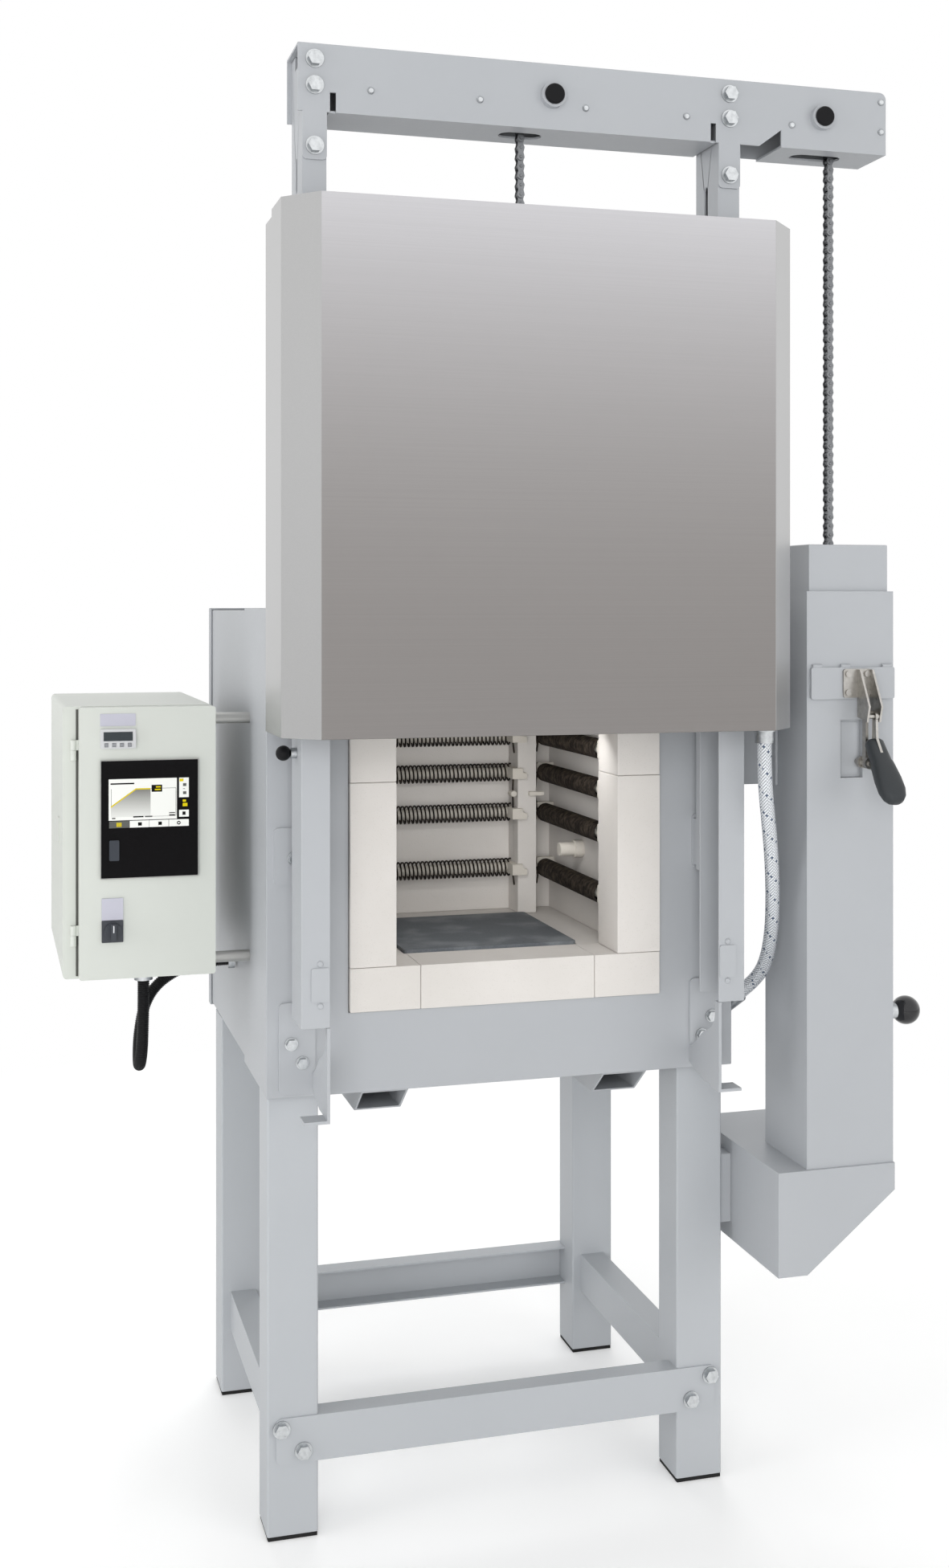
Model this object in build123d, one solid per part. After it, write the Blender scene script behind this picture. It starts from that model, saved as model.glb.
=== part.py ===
from build123d import *
import math
import os

# Chamber furnace with a lift door. X runs to the right, Y away from the user, Z up.
# The origin is on the floor, at the centre of the stand. All sizes are in millimetres.

# Clearances
turn_gap = 0.05
slide_gap = 0.3
slip_gap = 1

# Stand
leg_width = 70
leg_wall = 3
stand_width = 664
stand_depth = 530
pad_height = 6
leg_length = 600
rail_height = 62
rail_sheet = 3
rail_flange = 30
rail_z = 104
rail_overhang = 12
rail_corner = 8
rail_bolt_outer = (7, 48)
rail_bolt_inner = (37, 16)
side_rail_width = 40

# Furnace body
body_width = 674
body_height = 657
body_front = -289
body_depth = 604
casing_sheet = 3
front_casing_depth = 200
casing_step = 0.4
casing_lap = 40
panel_depth = 20
skid_width = 66
skid_height = 38
skid_wall = 3
skid_centre = 174
skid_cut = 48

# Brickwork
mouth_width = 320
mouth_height = 320
mouth_sill_z = 776
collar_width = 64
collar_height = 60
collar_depth = 80
collar_proud = 7
brick_joint = 0.4
wall_recess = 30
wall_thickness = 64
chamber_depth = 401
corner_post_width = 31
corner_post_depth = 52
corner_post_x = 121
sill_joint_x = 126
pillar_joint_z = 1027
hearth_plate_width = 256
hearth_plate_depth = 254
hearth_plate_thickness = 10
hearth_plate_proud = 4
hearth_plate_corner = 6
hearth_plate_back = 6

# Heating coils
coil_radius = 15
coil_hole_radius = 8.3
coil_carrier_radius = 8
coil_rows = (846, 935, 999, 1057)
coil_off_wall = 20
back_coil_half = 118
side_coil_front = -205
side_coil_rear = 80
holder_thickness = 8
holder_half = 14
floor_coil_radius = 9
floor_coil_count = 5
floor_coil_end = 8
probe_y = -60
probe_z = 892
probe_reach = 62
probe_radius = 9
probe_socket_radius = 13
probe_socket_length = 14

# Portal: posts, guides and beam
post_head_width = 32
post_wall = 3
post_centre = 290
post_slot = (46, 12)
post_slot_drop = 75
beam_front = -388
beam_depth = 83
beam_height = 88
beam_top = 1993
beam_left = -312
beam_right = 530
beam_sheet = 3
beam_corner = 10
beam_step_x = 368
beam_bevel_x = 334
beam_bevel_height = 24
tab_drop = 62
tab_notch_off = 24
beam_bolt_drops = (20, 54, 132)
beam_screw_drop = 56
beam_screws_x = (-216, -68, 80, 226, 384)
guide_width = 38
guide_depth = 68
guide_wall = 2.5
guide_front = -395
guide_bottom = 722
guide_top = 1762
stem_bottom = 892
bracket_plate = 4
bracket_width = 52
bracket_height = 77
bracket_rise = 240
bracket_bolt_x = 301
bracket_bolt_z = 36
cam_plate = 4
cam_width = 50
cam_height = 123
cam_bolts = ((33, 73), (18, 47))

# Chain drive
chain_pitch = 12.7
chain_inner = 7.8
chain_plate = 1.6
chain_height = 11
roller_radius = 4.25
roller_start = 27
chain_notch = 12
sprocket_teeth = 16
tooth_width = 7
tooth_rise = 4.8
hub_radius = 20
hub_length = 26
chain_y = -345
axle_z = 1950
axle_radius = 10
axle_sleeve_radius = 14
axle_collar_radius = 17
axle_collar_length = 10
axle_cap_radius = 13.5
axle_cap_length = 5
column_x = 462

# Door
door_travel = 490
door_bottom = 1102
door_height = 673
door_front = -506
door_face_half = 304
door_bevel_x = 42
door_bevel_y = 45
door_rear = -339
door_sheet = 2
door_flange = 84
door_frame_plate = 4
door_ear = (48, 9)
block_half = 236
block_gap = 4
block_front = 12
coil_field = 150
coil_recess = 44
door_coil_pitch = 62
anchor_drop = 70
anchor_half = 30
anchor_plate = 6
wheel_radius = 31.2
wheel_width = 18
wheel_bore = 8
wheel_shoulder = 12
wheel_heights = (190, 600)
wheel_bracket_half = 22
wheel_bracket_sheet = 5

# Lock plunger on the left guide
plunger_z = 1075
plunger_radius = 3
plunger_body_radius = 7
plunger_body_length = 8
knob_radius = 10

# Counterweight column
column_width = 133
column_wall = 3
column_bottom = 486
cover_top = 1287
column_top = 1352
cover_step = 6
weight_width = 108
weight_height = 330
weight_bottom = 512
eye_length = 30
handle_z = 681
handle_rod_radius = 11
handle_ball_radius = 20.5
handle_reach = 57
handle_slot = 26
window_x = (447, 481)
window_z = (1027, 1108)

# Console under the column
console_left = 351
console_rear = -125
console_wall = 3
console_lip = 38
console_drop = 145
console_foot = 44
spacer_y = (-255, -205)
link_z = (1009, 1180)
link_plate = 4

# Toggle clamp that brakes the counterweight
cross_plate_z = (1137, 1181)
cross_plate_thickness = 6
clamp_x = (447, 490)
clamp_z = (1139, 1179)
clamp_plate = 3
clamp_mid = 479
clamp_strip = 4
clamp_eye = 6
clamp_pin = 3
arm_off = 17
arm_pin_z = 1118
lever_off = 34
lever_pin_z = 1114
arm_length = 76
spindle_drop = 69
spindle_radius = 4
nut_radius = 8
nut_height = 7
grip_start = (-30, 1078)
grip_run = (-62, -76)
grip_neck = 30
grip_length = 62

# Control cabinet
cabinet_left = -596
cabinet_right = -389
cabinet_front = -170
cabinet_depth = 395
cabinet_bottom = 753
cabinet_height = 375
cabinet_sheet = 2
cabinet_door_depth = 20
cabinet_door_left = -575
cabinet_seal = 0.5
support_radius = 8
support_y = -134
support_inset = (17, 20)
hinge_inset = 60
hinge_radius = 4
hinge_pin = 2
hinge_reach = 14
hinge_off = 7
latch_y = (-60, -36)
latch_z = (930, 965)

# Fittings on the cabinet door
panel_x = (-546, -414)
panel_z = (893, 1054)
panel_proud = 4
screen_x = (-536, -426)
screen_z = (961, 1029)
flap_x = (-535, -521.6)
flap_z = (917, 945)
limiter_x = (-547, -499)
limiter_z = (1071, 1097.6)
limiter_proud = 7
limiter_window_x = (-543, -503)
limiter_window_z = (1081, 1094)
key_z = (1073.3, 1078.3)
key_xs = (-539, -528.5, -518, -507.5)
key_half = 2.4
key_travel = 1
strip_z = (1101.5, 1118.4)
switch_x = (-545, -516)
switch_label_z = (835.4, 865.3)
switch_plate_z = (805, 835)
knob_x = -530
knob_z = 820
switch_knob_radius = 12
switch_wing = (3.5, 11)

# Cords
hose_radius = 10
conduit_radius = 8.5
gland_radius = 13
gland_length = 14
hose_points = [(322, -432, 1080), (322, -432, 1035), (332, -420, 985), (346, -402, 930),
               (357, -384, 870), (366, -362, 808), (370, -335, 760), (366, -306, 728), (352, -282, 706)]
conduit_points = [(-483, -110, cabinet_bottom - gland_length), (-483, -110, 696), (-485, -112, 642),
                  (-486, -92, 615), (-485, -60, 605), (-483, -28, 615), (-480, -8, 642),
                  (-473, 0, 676), (-455, 8, 705), (-420, 14, 726), (-382, 16, 735), (-347, 16, 735)]

# Worked out from the sizes above
body_bottom = pad_height + leg_length
body_top = body_bottom + body_height
body_rear = body_front + body_depth
half_body = body_width / 2
leg_x = stand_width / 2 - leg_width / 2
leg_y = stand_depth / 2 - leg_width / 2
collar_front = body_front - collar_proud
collar_rear = collar_front + collar_depth
chamber_rear = collar_front + chamber_depth
chamber_half = mouth_width / 2 + wall_recess
collar_half = mouth_width / 2 + collar_width
mouth_top = mouth_sill_z + mouth_height
brick_floor = mouth_sill_z - collar_height
brick_roof = mouth_top + wall_thickness
beam_rear = beam_front + beam_depth
beam_bottom = beam_top - beam_height
post_front = beam_front + beam_sheet
post_rear = beam_rear - beam_sheet
guide_rear = guide_front + guide_depth
guide_y = guide_front + guide_depth / 2
guide_inner = post_centre - guide_width / 2
guide_outer = post_centre + guide_width / 2
pitch_radius = chain_pitch / 2 / math.sin(math.pi / sprocket_teeth)
axle_left_x = pitch_radius
axle_right_x = column_x - pitch_radius
door_top = door_bottom + door_height
door_half = door_face_half + door_bevel_x
door_mid = door_bottom + door_height / 2
frame_front = door_front + door_flange
frame_rear = frame_front + door_frame_plate
anchor_z = door_top - anchor_drop
column_left = column_x - column_width / 2
column_right = column_x + column_width / 2
column_front = chain_y - column_width / 2
column_rear = chain_y + column_width / 2
weight_top = weight_bottom + weight_height
cabinet_top = cabinet_bottom + cabinet_height
hinge_x = cabinet_door_left - hinge_off
hinge_y = cabinet_front + cabinet_door_depth - hinge_radius
hinge_zs = (cabinet_bottom + hinge_inset, cabinet_top - hinge_inset)


def block(x0, x1, y0, y1, z0, z1):
    """A box between two corners."""
    size = Box(abs(x1 - x0), abs(y1 - y0), abs(z1 - z0))
    return Pos((x0 + x1) / 2, (y0 + y1) / 2, (z0 + z1) / 2) * size


def rod(axis, radius, start, end, a, b):
    """A cylinder along an axis from start to end; a and b are its other two coordinates in order."""
    mid = (start + end) / 2
    shape = Cylinder(radius, abs(end - start))
    if axis == "x":
        return Pos(mid, a, b) * Rot(0, 90, 0) * shape
    if axis == "y":
        return Pos(a, mid, b) * Rot(90, 0, 0) * shape
    return Pos(a, b, mid) * shape


def rounded_plate_y(x0, x1, z0, z1, y0, y1, radius):
    """A plate that faces the user, with rounded corners."""
    face = RectangleRounded(x1 - x0, z1 - z0, radius)
    plate = extrude(Plane.XZ * face, y1 - y0)
    return Pos((x0 + x1) / 2, y1, (z0 + z1) / 2) * plate


def prism_z(points, z0, z1):
    """A prism along Z over a closed outline in X and Y."""
    outline = make_face(Polyline(*points, close=True))
    return Pos(0, 0, z0) * extrude(outline, z1 - z0)


def prism_x(points, x0, x1):
    """A prism along X over a closed outline in Y and Z."""
    outline = make_face(Polyline(*points, close=True))
    return Pos(x0, 0, 0) * extrude(Plane.YZ * outline, x1 - x0)


def prism_y(points, y0, y1):
    """A prism along Y over a closed outline in X and Z."""
    outline = make_face(Polyline(*points, close=True))
    return Pos(0, y1, 0) * extrude(Plane.XZ * outline, y1 - y0)


def hex_bolt_y(x, y, z, across=17, head=7, washer=12, washer_height=2):
    """A hexagon bolt head on its washer, pressed on a face at y, seen by the user."""
    ring = rod("y", washer, y - washer_height, y, x, z)
    hexagon = extrude(Plane.XZ * RegularPolygon(across / 2, 6, major_radius=False), head)
    return ring + Pos(x, y - washer_height, z) * hexagon


def pan_screw_y(x, y, z, radius=4.5, height=3):
    """A pan-head screw on a face at y."""
    head = rod("y", radius, y - height, y, x, z)
    return chamfer(head.edges().group_by(Axis.Y)[0], height * 0.5)


def mirrored(shape):
    """The same shape on the other side of the middle plane."""
    return mirror(shape, Plane.YZ)


def both(*shapes):
    """The shapes and their mirror images."""
    return list(shapes) + [mirrored(shape) for shape in shapes]


def save(node, *shapes):
    """Writes one node with all the solids of the given shapes."""
    solids = [solid for shape in shapes for solid in shape.solids()]
    export_step(Compound(children=solids), "parts/" + node + ".step")


def leg(x, y):
    """A square tube leg with rounded long edges."""
    half = leg_width / 2
    outer = block(x - half, x + half, y - half, y + half, pad_height, body_bottom)
    outer = fillet(outer.edges().filter_by(Axis.Z), leg_wall)
    inner = half - leg_wall
    return outer - block(x - inner, x + inner, y - inner, y + inner, pad_height, body_bottom)


def stand():
    """Legs, pads and rails. Gives back the bolts that join them."""
    corners = [(-1, -1), (1, -1), (-1, 1), (1, 1)]
    save("stand_legs", *[leg(sx * leg_x, sy * leg_y) for sx, sy in corners])
    pad = Box(leg_width - 2, leg_width - 2, pad_height)
    save("foot_pads", *[Pos(sx * leg_x, sy * leg_y, pad_height / 2) * pad for sx, sy in corners])

    half = stand_width / 2 - rail_overhang
    between = stand_width / 2 - leg_width
    face = -stand_depth / 2
    outside = face - rail_sheet
    top = rail_z + rail_height
    web = rounded_plate_y(-half, half, rail_z, top, outside, face, rail_corner)
    lower = block(-between, between, outside, face + rail_flange, rail_z, rail_z + rail_sheet)
    upper = block(-between, between, outside, face + rail_flange, top - rail_sheet, top)
    front = web + lower + upper

    reach = stand_depth / 2 - leg_width
    side = Box(side_rail_width, 2 * reach, rail_height)
    side -= Box(side_rail_width - 2 * rail_sheet, 2 * reach, rail_height - 2 * rail_sheet)
    side = Pos(leg_x, 0, rail_z + rail_height / 2) * side
    save("stand_rails", front, mirror(front, Plane.XZ), *both(side))

    bolts = []
    for inset, height in (rail_bolt_outer, rail_bolt_inner):
        bolt = hex_bolt_y(half - inset, outside, rail_z + height)
        bolts += both(bolt, mirror(bolt, Plane.XZ))
    return bolts


def casings():
    """Sheet casings with the back panel, and the skids under them."""
    wrap_rear = body_front + front_casing_depth
    inner = half_body - casing_sheet
    outer = block(-half_body, half_body, body_front, wrap_rear, body_bottom, body_top)
    hollow = block(-inner, inner, body_front + casing_sheet, wrap_rear,
                   body_bottom + casing_sheet, body_top - casing_sheet)
    edge = collar_half + slip_gap
    mouth = block(-edge, edge, body_front - 1, collar_rear, brick_floor - slip_gap,
                  mouth_top + collar_height + slip_gap)
    save("front_casing", outer - hollow - mouth)

    skin = inner - casing_step
    low = body_bottom + casing_sheet + casing_step
    high = body_top - casing_sheet - casing_step
    lap = wrap_rear - casing_lap
    sleeve_rear = body_rear - casing_sheet
    sleeve = block(-skin, skin, lap, sleeve_rear, low, high)
    sleeve -= block(-skin + casing_sheet, skin - casing_sheet, lap, sleeve_rear,
                    low + casing_sheet, high - casing_sheet)
    lid = block(-half_body, half_body, body_rear - panel_depth, body_rear, body_bottom, body_top)
    lid -= block(-inner, inner, body_rear - panel_depth, sleeve_rear,
                 body_bottom + casing_sheet, body_top - casing_sheet)
    save("rear_casing", sleeve, lid)

    front = body_front + 1
    rear = stand_depth / 2
    low_z = body_bottom - skid_height
    outline = [(front, body_bottom), (front + skid_cut, low_z), (rear, low_z), (rear, body_bottom)]
    tube = prism_x(outline, skid_centre - skid_width / 2, skid_centre + skid_width / 2)
    bore = skid_width / 2 - skid_wall
    tube -= block(skid_centre - bore, skid_centre + bore, front - 1, rear + 1,
                  low_z + skid_wall, body_bottom - skid_wall)
    save("skid_tubes", *both(tube))

    fill = skin - casing_sheet - casing_step
    fleece = block(-fill, fill, collar_rear, sleeve_rear - casing_step,
                   low + casing_sheet + casing_step, high - casing_sheet - casing_step)
    half = chamber_half + wall_thickness + casing_step
    bricks = block(-half, half, collar_rear - 1, chamber_rear + wall_thickness + casing_step,
                   brick_floor - casing_step, brick_roof + casing_step)
    save("backup_insulation", fleece - bricks)


def collar():
    """The frame of bricks around the mouth."""
    j = brick_joint
    top = mouth_sill_z - j
    bricks = [
        block(-collar_half, -sill_joint_x, collar_front, collar_rear, brick_floor, top),
        block(-sill_joint_x + j, sill_joint_x - j, collar_front, collar_rear, brick_floor, top),
        block(sill_joint_x, collar_half, collar_front, collar_rear, brick_floor, top),
    ]
    edge = mouth_width / 2
    lower = block(edge, collar_half, collar_front, collar_rear, mouth_sill_z, pillar_joint_z - j)
    upper = block(edge, collar_half, collar_front, collar_rear, pillar_joint_z, mouth_top - j)
    lintel = block(-collar_half, collar_half, collar_front, collar_rear, mouth_top, mouth_top + collar_height)
    save("collar_bricks", *bricks, *both(lower, upper), lintel)


def chamber():
    """The chamber's bricks, its floor plate, and the coils in the floor."""
    j = brick_joint
    start = collar_rear + j
    outer = chamber_half + wall_thickness
    rear = chamber_rear + wall_thickness
    hearth = block(-outer, outer, start, rear, brick_floor, mouth_sill_z - j)
    pocket_z = mouth_sill_z - hearth_plate_thickness + hearth_plate_proud
    plate_front = collar_rear + hearth_plate_back
    plate_rear = plate_front + hearth_plate_depth
    half = hearth_plate_width / 2
    spacing = hearth_plate_depth / floor_coil_count
    coil_z = pocket_z - floor_coil_radius - slip_gap
    reach = half - floor_coil_end
    groove = floor_coil_radius + slip_gap
    coils = []
    for i in range(floor_coil_count):
        y = plate_front + spacing * (i + 0.5)
        hearth -= block(-reach, reach, y - groove, y + groove, coil_z - floor_coil_radius, mouth_sill_z)
        coils.append(rod("x", floor_coil_radius, -reach + slip_gap, reach - slip_gap, y, coil_z))
    hearth -= block(-half - slip_gap, half + slip_gap, plate_front - slip_gap, plate_rear + slip_gap,
                    pocket_z, mouth_sill_z)
    plate = block(-half, half, plate_front, plate_rear, pocket_z, mouth_sill_z + hearth_plate_proud)
    save("hearth_plate", fillet(plate.edges().filter_by(Axis.Z), hearth_plate_corner))

    side = block(chamber_half, outer, start, chamber_rear - j, mouth_sill_z, mouth_top - j)
    back = block(-outer, outer, chamber_rear, rear, mouth_sill_z, mouth_top - j)
    roof = block(-outer, outer, start, rear, mouth_top, brick_roof)
    post = block(corner_post_x, corner_post_x + corner_post_width, chamber_rear - corner_post_depth,
                 chamber_rear - j, mouth_sill_z, mouth_top - j)
    for z in coil_rows:
        post -= rod("x", coil_carrier_radius + slide_gap, corner_post_x - 1,
                    corner_post_x + corner_post_width + 1, chamber_rear - coil_off_wall, z)
    save("chamber_bricks", hearth, back, roof, *both(side, post))
    return coils


def coil_sleeve(axis, start, end, a, b):
    """The room that one wound heating wire takes around its ceramic carrier tube."""
    outer = rod(axis, coil_radius, start, end, a, b)
    return outer - rod(axis, coil_hole_radius, start, end, a, b)


def heating(floor_coils):
    """Coils, the ceramic tubes that carry them, and the thermocouple."""
    y = chamber_rear - coil_off_wall
    x = chamber_half - coil_off_wall
    tube_end = corner_post_x + corner_post_width
    front, rear = side_coil_front - slip_gap, side_coil_rear + slip_gap
    coils, tubes = list(floor_coils), []
    for z in coil_rows:
        coils.append(coil_sleeve("x", -back_coil_half, back_coil_half, y, z))
        coils += both(coil_sleeve("y", side_coil_front, side_coil_rear, x, z))
        tubes.append(rod("x", coil_carrier_radius, -tube_end, tube_end, y, z))
        tube = rod("y", coil_carrier_radius, front - holder_thickness, rear + holder_thickness, x, z)
        for y0 in (front - holder_thickness, rear):
            tube += block(x - coil_carrier_radius, chamber_half, y0, y0 + holder_thickness,
                          z - holder_half, z + holder_half)
        tubes += both(tube)
    save("chamber_coils", *coils)
    probe = rod("x", probe_radius, chamber_half - probe_reach, chamber_half, probe_y, probe_z)
    probe += rod("x", probe_socket_radius, chamber_half - probe_socket_length, chamber_half,
                 probe_y, probe_z)
    save("ceramic_tubes", *tubes, probe)


def guide_right():
    """A C-profile that opens towards the middle, for the door's wheels."""
    outer = block(guide_inner, guide_outer, guide_front, guide_rear, guide_bottom, guide_top)
    return outer - block(guide_inner - 1, guide_outer - guide_wall, guide_front + guide_wall,
                         guide_rear - guide_wall, guide_bottom - 1, guide_top + 1)


def post_right():
    """A post: a square head inside the beam and a flat stem behind the guide."""
    x0 = post_centre - post_head_width / 2
    x1 = post_centre + post_head_width / 2
    head_bottom = guide_top + bracket_plate
    head_top = beam_top - beam_sheet - slip_gap
    head = block(x0, x1, post_front, post_rear, head_bottom, head_top)
    head -= block(x0 + post_wall, x1 - post_wall, post_front + post_wall, post_rear - post_wall,
                  head_bottom - 1, head_top + 1)
    head -= block(x0 - 1, x1 + 1, chain_y - chain_notch, chain_y + chain_notch,
                  axle_z + pitch_radius - chain_notch, head_top + 1)
    stem = block(x0, x1, guide_rear, post_rear, stem_bottom, head_bottom + bracket_plate)
    slot = extrude(Plane.YZ * SlotOverall(*post_slot, rotation=90), post_head_width, both=True)
    slot_y = (post_front + post_rear) / 2 + post_wall
    return head + stem - Pos(post_centre, slot_y, beam_bottom - post_slot_drop) * slot


def cam_right():
    """A bracket on the casing whose curved cheek leads the door's foot in."""
    foot = rounded_plate_y(guide_inner, guide_inner + cam_width, body_bottom + 5,
                           body_bottom + 5 + cam_height, body_front - cam_plate, body_front, 8)
    top = guide_bottom - 0.5
    tip = (guide_front + 13, guide_bottom - 14)
    end = (body_front, guide_bottom - 84)
    bottom = body_bottom - cam_plate
    lead = Spline(tip, (guide_front + 52, guide_bottom - 52), end, tangents=((0, -1), (1, -0.2)))
    rest = Polyline(end, (body_front, body_bottom + 10), (body_front - 52, bottom), (guide_front, bottom),
                    (guide_front, top), (guide_front + 13, top), tip)
    cheek = Pos(guide_inner, 0, 0) * extrude(Plane.YZ * make_face(lead + rest), cam_plate)
    toe = block(guide_inner, guide_inner + 34, guide_front, guide_front + 30, bottom - cam_plate, bottom)
    return foot + cheek + toe


def portal():
    """Guides, posts and the brackets that hold them. Gives back the bracket bolts."""
    save("guide_rails", *both(guide_right()))
    save("posts", *both(post_right()))

    plate_y = body_front - bracket_plate
    foot = rounded_plate_y(guide_inner + 4, guide_inner + 4 + bracket_width, stem_bottom,
                           stem_bottom + bracket_height, plate_y, body_front, 6)
    spacer = block(guide_inner + 5, guide_inner + 20, post_rear, plate_y,
                   stem_bottom + 6, stem_bottom + bracket_height - 6)
    low = foot + spacer
    plate = rounded_plate_y(guide_inner + 1, guide_inner + 25, guide_bottom + 34, guide_bottom + 78,
                            guide_front - 2, guide_front, 3)
    screws = [pan_screw_y(guide_inner + 13, guide_front, guide_bottom + dz, 4, 2.5) for dz in (29, 83)]
    save("guide_brackets", *both(low, Pos(0, 0, bracket_rise) * low, cam_right(), plate, *screws))

    spots = [(bracket_bolt_x, stem_bottom + bracket_bolt_z),
             (bracket_bolt_x, stem_bottom + bracket_bolt_z + bracket_rise)]
    spots += [(guide_inner + dx, body_bottom + dz) for dx, dz in cam_bolts]
    return both(*[hex_bolt_y(x, plate_y, z, 13, 6, 9) for x, z in spots])


def beam():
    """The folded beam with its tabs, end cap and collars. Gives back its bolts."""
    shell = block(beam_left, beam_right, beam_front, beam_rear, beam_bottom, beam_top)
    corner = shell.edges().filter_by(Axis.Y).group_by(Axis.X)[-1].sort_by(Axis.Z)[-1]
    shell = fillet(corner, beam_corner)
    shell -= block(beam_left - 1, beam_right - beam_sheet, post_front, post_rear,
                   beam_bottom + beam_sheet, beam_top - beam_sheet)
    inner = post_centre - post_head_width / 2 - beam_sheet
    for x0, x1 in ((-post_centre - post_head_width, -inner), (inner, beam_step_x)):
        shell -= block(x0, x1, post_front, beam_rear + 1, beam_bottom - 1, beam_bottom + beam_sheet)
    shell -= prism_y([(beam_bevel_x, beam_bottom - 1), (beam_step_x, beam_bottom - 1),
                      (beam_step_x, beam_bottom + beam_bevel_height)], beam_front - 1, post_front + 1)
    for x, length in ((0, 60), (column_x - 22, 76)):
        shell -= Pos(x, chain_y, beam_bottom) * extrude(SlotOverall(length, 30), 8, both=True)
    tab = rounded_plate_y(post_centre - 16, post_centre + 16, beam_bottom - tab_drop, beam_bottom + 20,
                          beam_front, post_front, 6)
    notch_x = post_centre - tab_notch_off
    notch = block(notch_x - 4, notch_x + 4, beam_front - 1, post_front + 1, beam_bottom - 1, beam_bottom + 26)
    shell = shell + tab + mirrored(tab) - notch - mirrored(notch)
    for x in (axle_left_x, axle_right_x):
        for y0, y1 in ((beam_front - axle_collar_length, beam_front), (beam_rear, beam_rear + axle_collar_length)):
            shell += rod("y", axle_collar_radius, y0, y1, x, axle_z)
        shell -= rod("y", axle_radius + slide_gap, beam_front - 20, beam_rear + 20, x, axle_z)
    save("beam", shell)

    screw_z = beam_top - beam_screw_drop
    screws = [pan_screw_y(x, beam_front, screw_z) for x in beam_screws_x]
    screws += [pan_screw_y(beam_right - 8, beam_front, z) for z in (beam_top - 14, screw_z)]
    save("beam_screws", *screws)
    return both(*[hex_bolt_y(post_centre, beam_front, beam_top - drop) for drop in beam_bolt_drops])


def sprocket(x):
    """A roller chain sprocket with rounded tooth gaps, hub and bore."""
    wheel = Cylinder(pitch_radius + tooth_rise, tooth_width)
    seat = Pos(pitch_radius, 0, 0) * Cylinder(roller_radius + 0.2, tooth_width + 1)
    mouth = Pos(pitch_radius + 5, 0, 0) * Box(10, 9.6, tooth_width + 1)
    for i in range(sprocket_teeth):
        wheel -= Rot(0, 0, 360 * (i + 0.5) / sprocket_teeth) * (seat + mouth)
    bored = wheel + Cylinder(hub_radius, hub_length) - Cylinder(axle_radius + turn_gap, 2 * hub_length)
    return Pos(x, chain_y, axle_z) * Rot(90, 0, 0) * bored


def axle(x):
    """A fixed axle with its end cap and the sleeves that keep the sprocket in line."""
    shaft = rod("y", axle_radius, beam_front - axle_collar_length, beam_rear + axle_collar_length, x, axle_z)
    side = hub_length / 2 + slide_gap
    shaft += rod("y", axle_sleeve_radius, post_front, chain_y - side, x, axle_z)
    shaft += rod("y", axle_sleeve_radius, chain_y + side, post_rear, x, axle_z)
    end = beam_front - axle_collar_length
    cap = rod("y", axle_cap_radius, end - axle_cap_length, end, x, axle_z)
    return shaft + chamfer(cap.edges().group_by(Axis.Y)[0], 1.5)


def chain_plates(outline):
    """Both rows of link plates of a chain over one flat outline in X and Z."""
    plate = extrude(Plane.XZ * outline, chain_plate)
    near = Pos(0, chain_y - chain_inner / 2, 0) * plate
    far = Pos(0, chain_y + chain_inner / 2 + chain_plate, 0) * plate
    return near + far


def chain_drop(x, bottom):
    """A hanging run of chain from the axle's height down to its end."""
    outline = Pos(x, (bottom + axle_z) / 2) * Rectangle(chain_height, axle_z - bottom)
    rollers = block(x - roller_radius, x + roller_radius, chain_y - chain_inner / 2,
                    chain_y + chain_inner / 2, bottom, axle_z - roller_start)
    return chain_plates(outline) + rollers


def drive():
    """Sprockets, axles and the chain in its three runs."""
    save("axles", axle(axle_left_x), axle(axle_right_x))
    save("sprocket_left", sprocket(axle_left_x))
    save("sprocket_right", sprocket(axle_right_x))

    run_z = axle_z + pitch_radius
    half = chain_height / 2
    ring = Circle(pitch_radius + half) - Circle(pitch_radius - half)
    reach = 2 * pitch_radius
    left = ring & Pos(-reach / 2, reach / 2) * Rectangle(reach, reach)
    right = ring & Pos(reach / 2, reach / 2) * Rectangle(reach, reach)
    mid = Pos((axle_left_x + axle_right_x) / 2, run_z) * Rectangle(axle_right_x - axle_left_x, chain_height)
    outline = mid + Pos(axle_left_x, axle_z) * left + Pos(axle_right_x, axle_z) * right
    rollers = block(axle_left_x + roller_start, axle_right_x - roller_start, chain_y - chain_inner / 2,
                    chain_y + chain_inner / 2, run_z - roller_radius, run_z + roller_radius)
    save("chain_top", chain_plates(outline) + rollers)
    save("chain_door_run", chain_drop(0, anchor_z))
    save("chain_weight_run", chain_drop(column_x, weight_top + eye_length))


def door_tray():
    """The folded stainless sheet of the door, open to the rear."""
    x, y, s = door_face_half, door_front, door_sheet
    outline = [(-x, y), (x, y), (door_half, y + door_bevel_y), (door_half, door_rear),
               (-door_half, door_rear), (-door_half, y + door_bevel_y)]
    bend = s * 0.4
    inside = [(-x + bend, y + s), (x - bend, y + s), (door_half - s, y + door_bevel_y + bend),
              (door_half - s, door_rear + 1), (-door_half + s, door_rear + 1),
              (-door_half + s, y + door_bevel_y + bend)]
    tray = prism_z(outline, door_bottom, door_top) - prism_z(inside, door_bottom + s, door_top - s)
    for z0, z1 in ((door_bottom - 1, door_bottom + s), (door_top - s, door_top + 1)):
        tray -= block(-door_half + s, door_half - s, frame_front, door_rear + 2, z0, z1)
    ear_length, ear_drop = door_ear
    ear = block(door_half - s - 1, door_half + 1, door_rear - ear_length, door_rear + 1,
                door_top - ear_drop, door_top + 1)
    return tray - ear - mirrored(ear)


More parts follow.
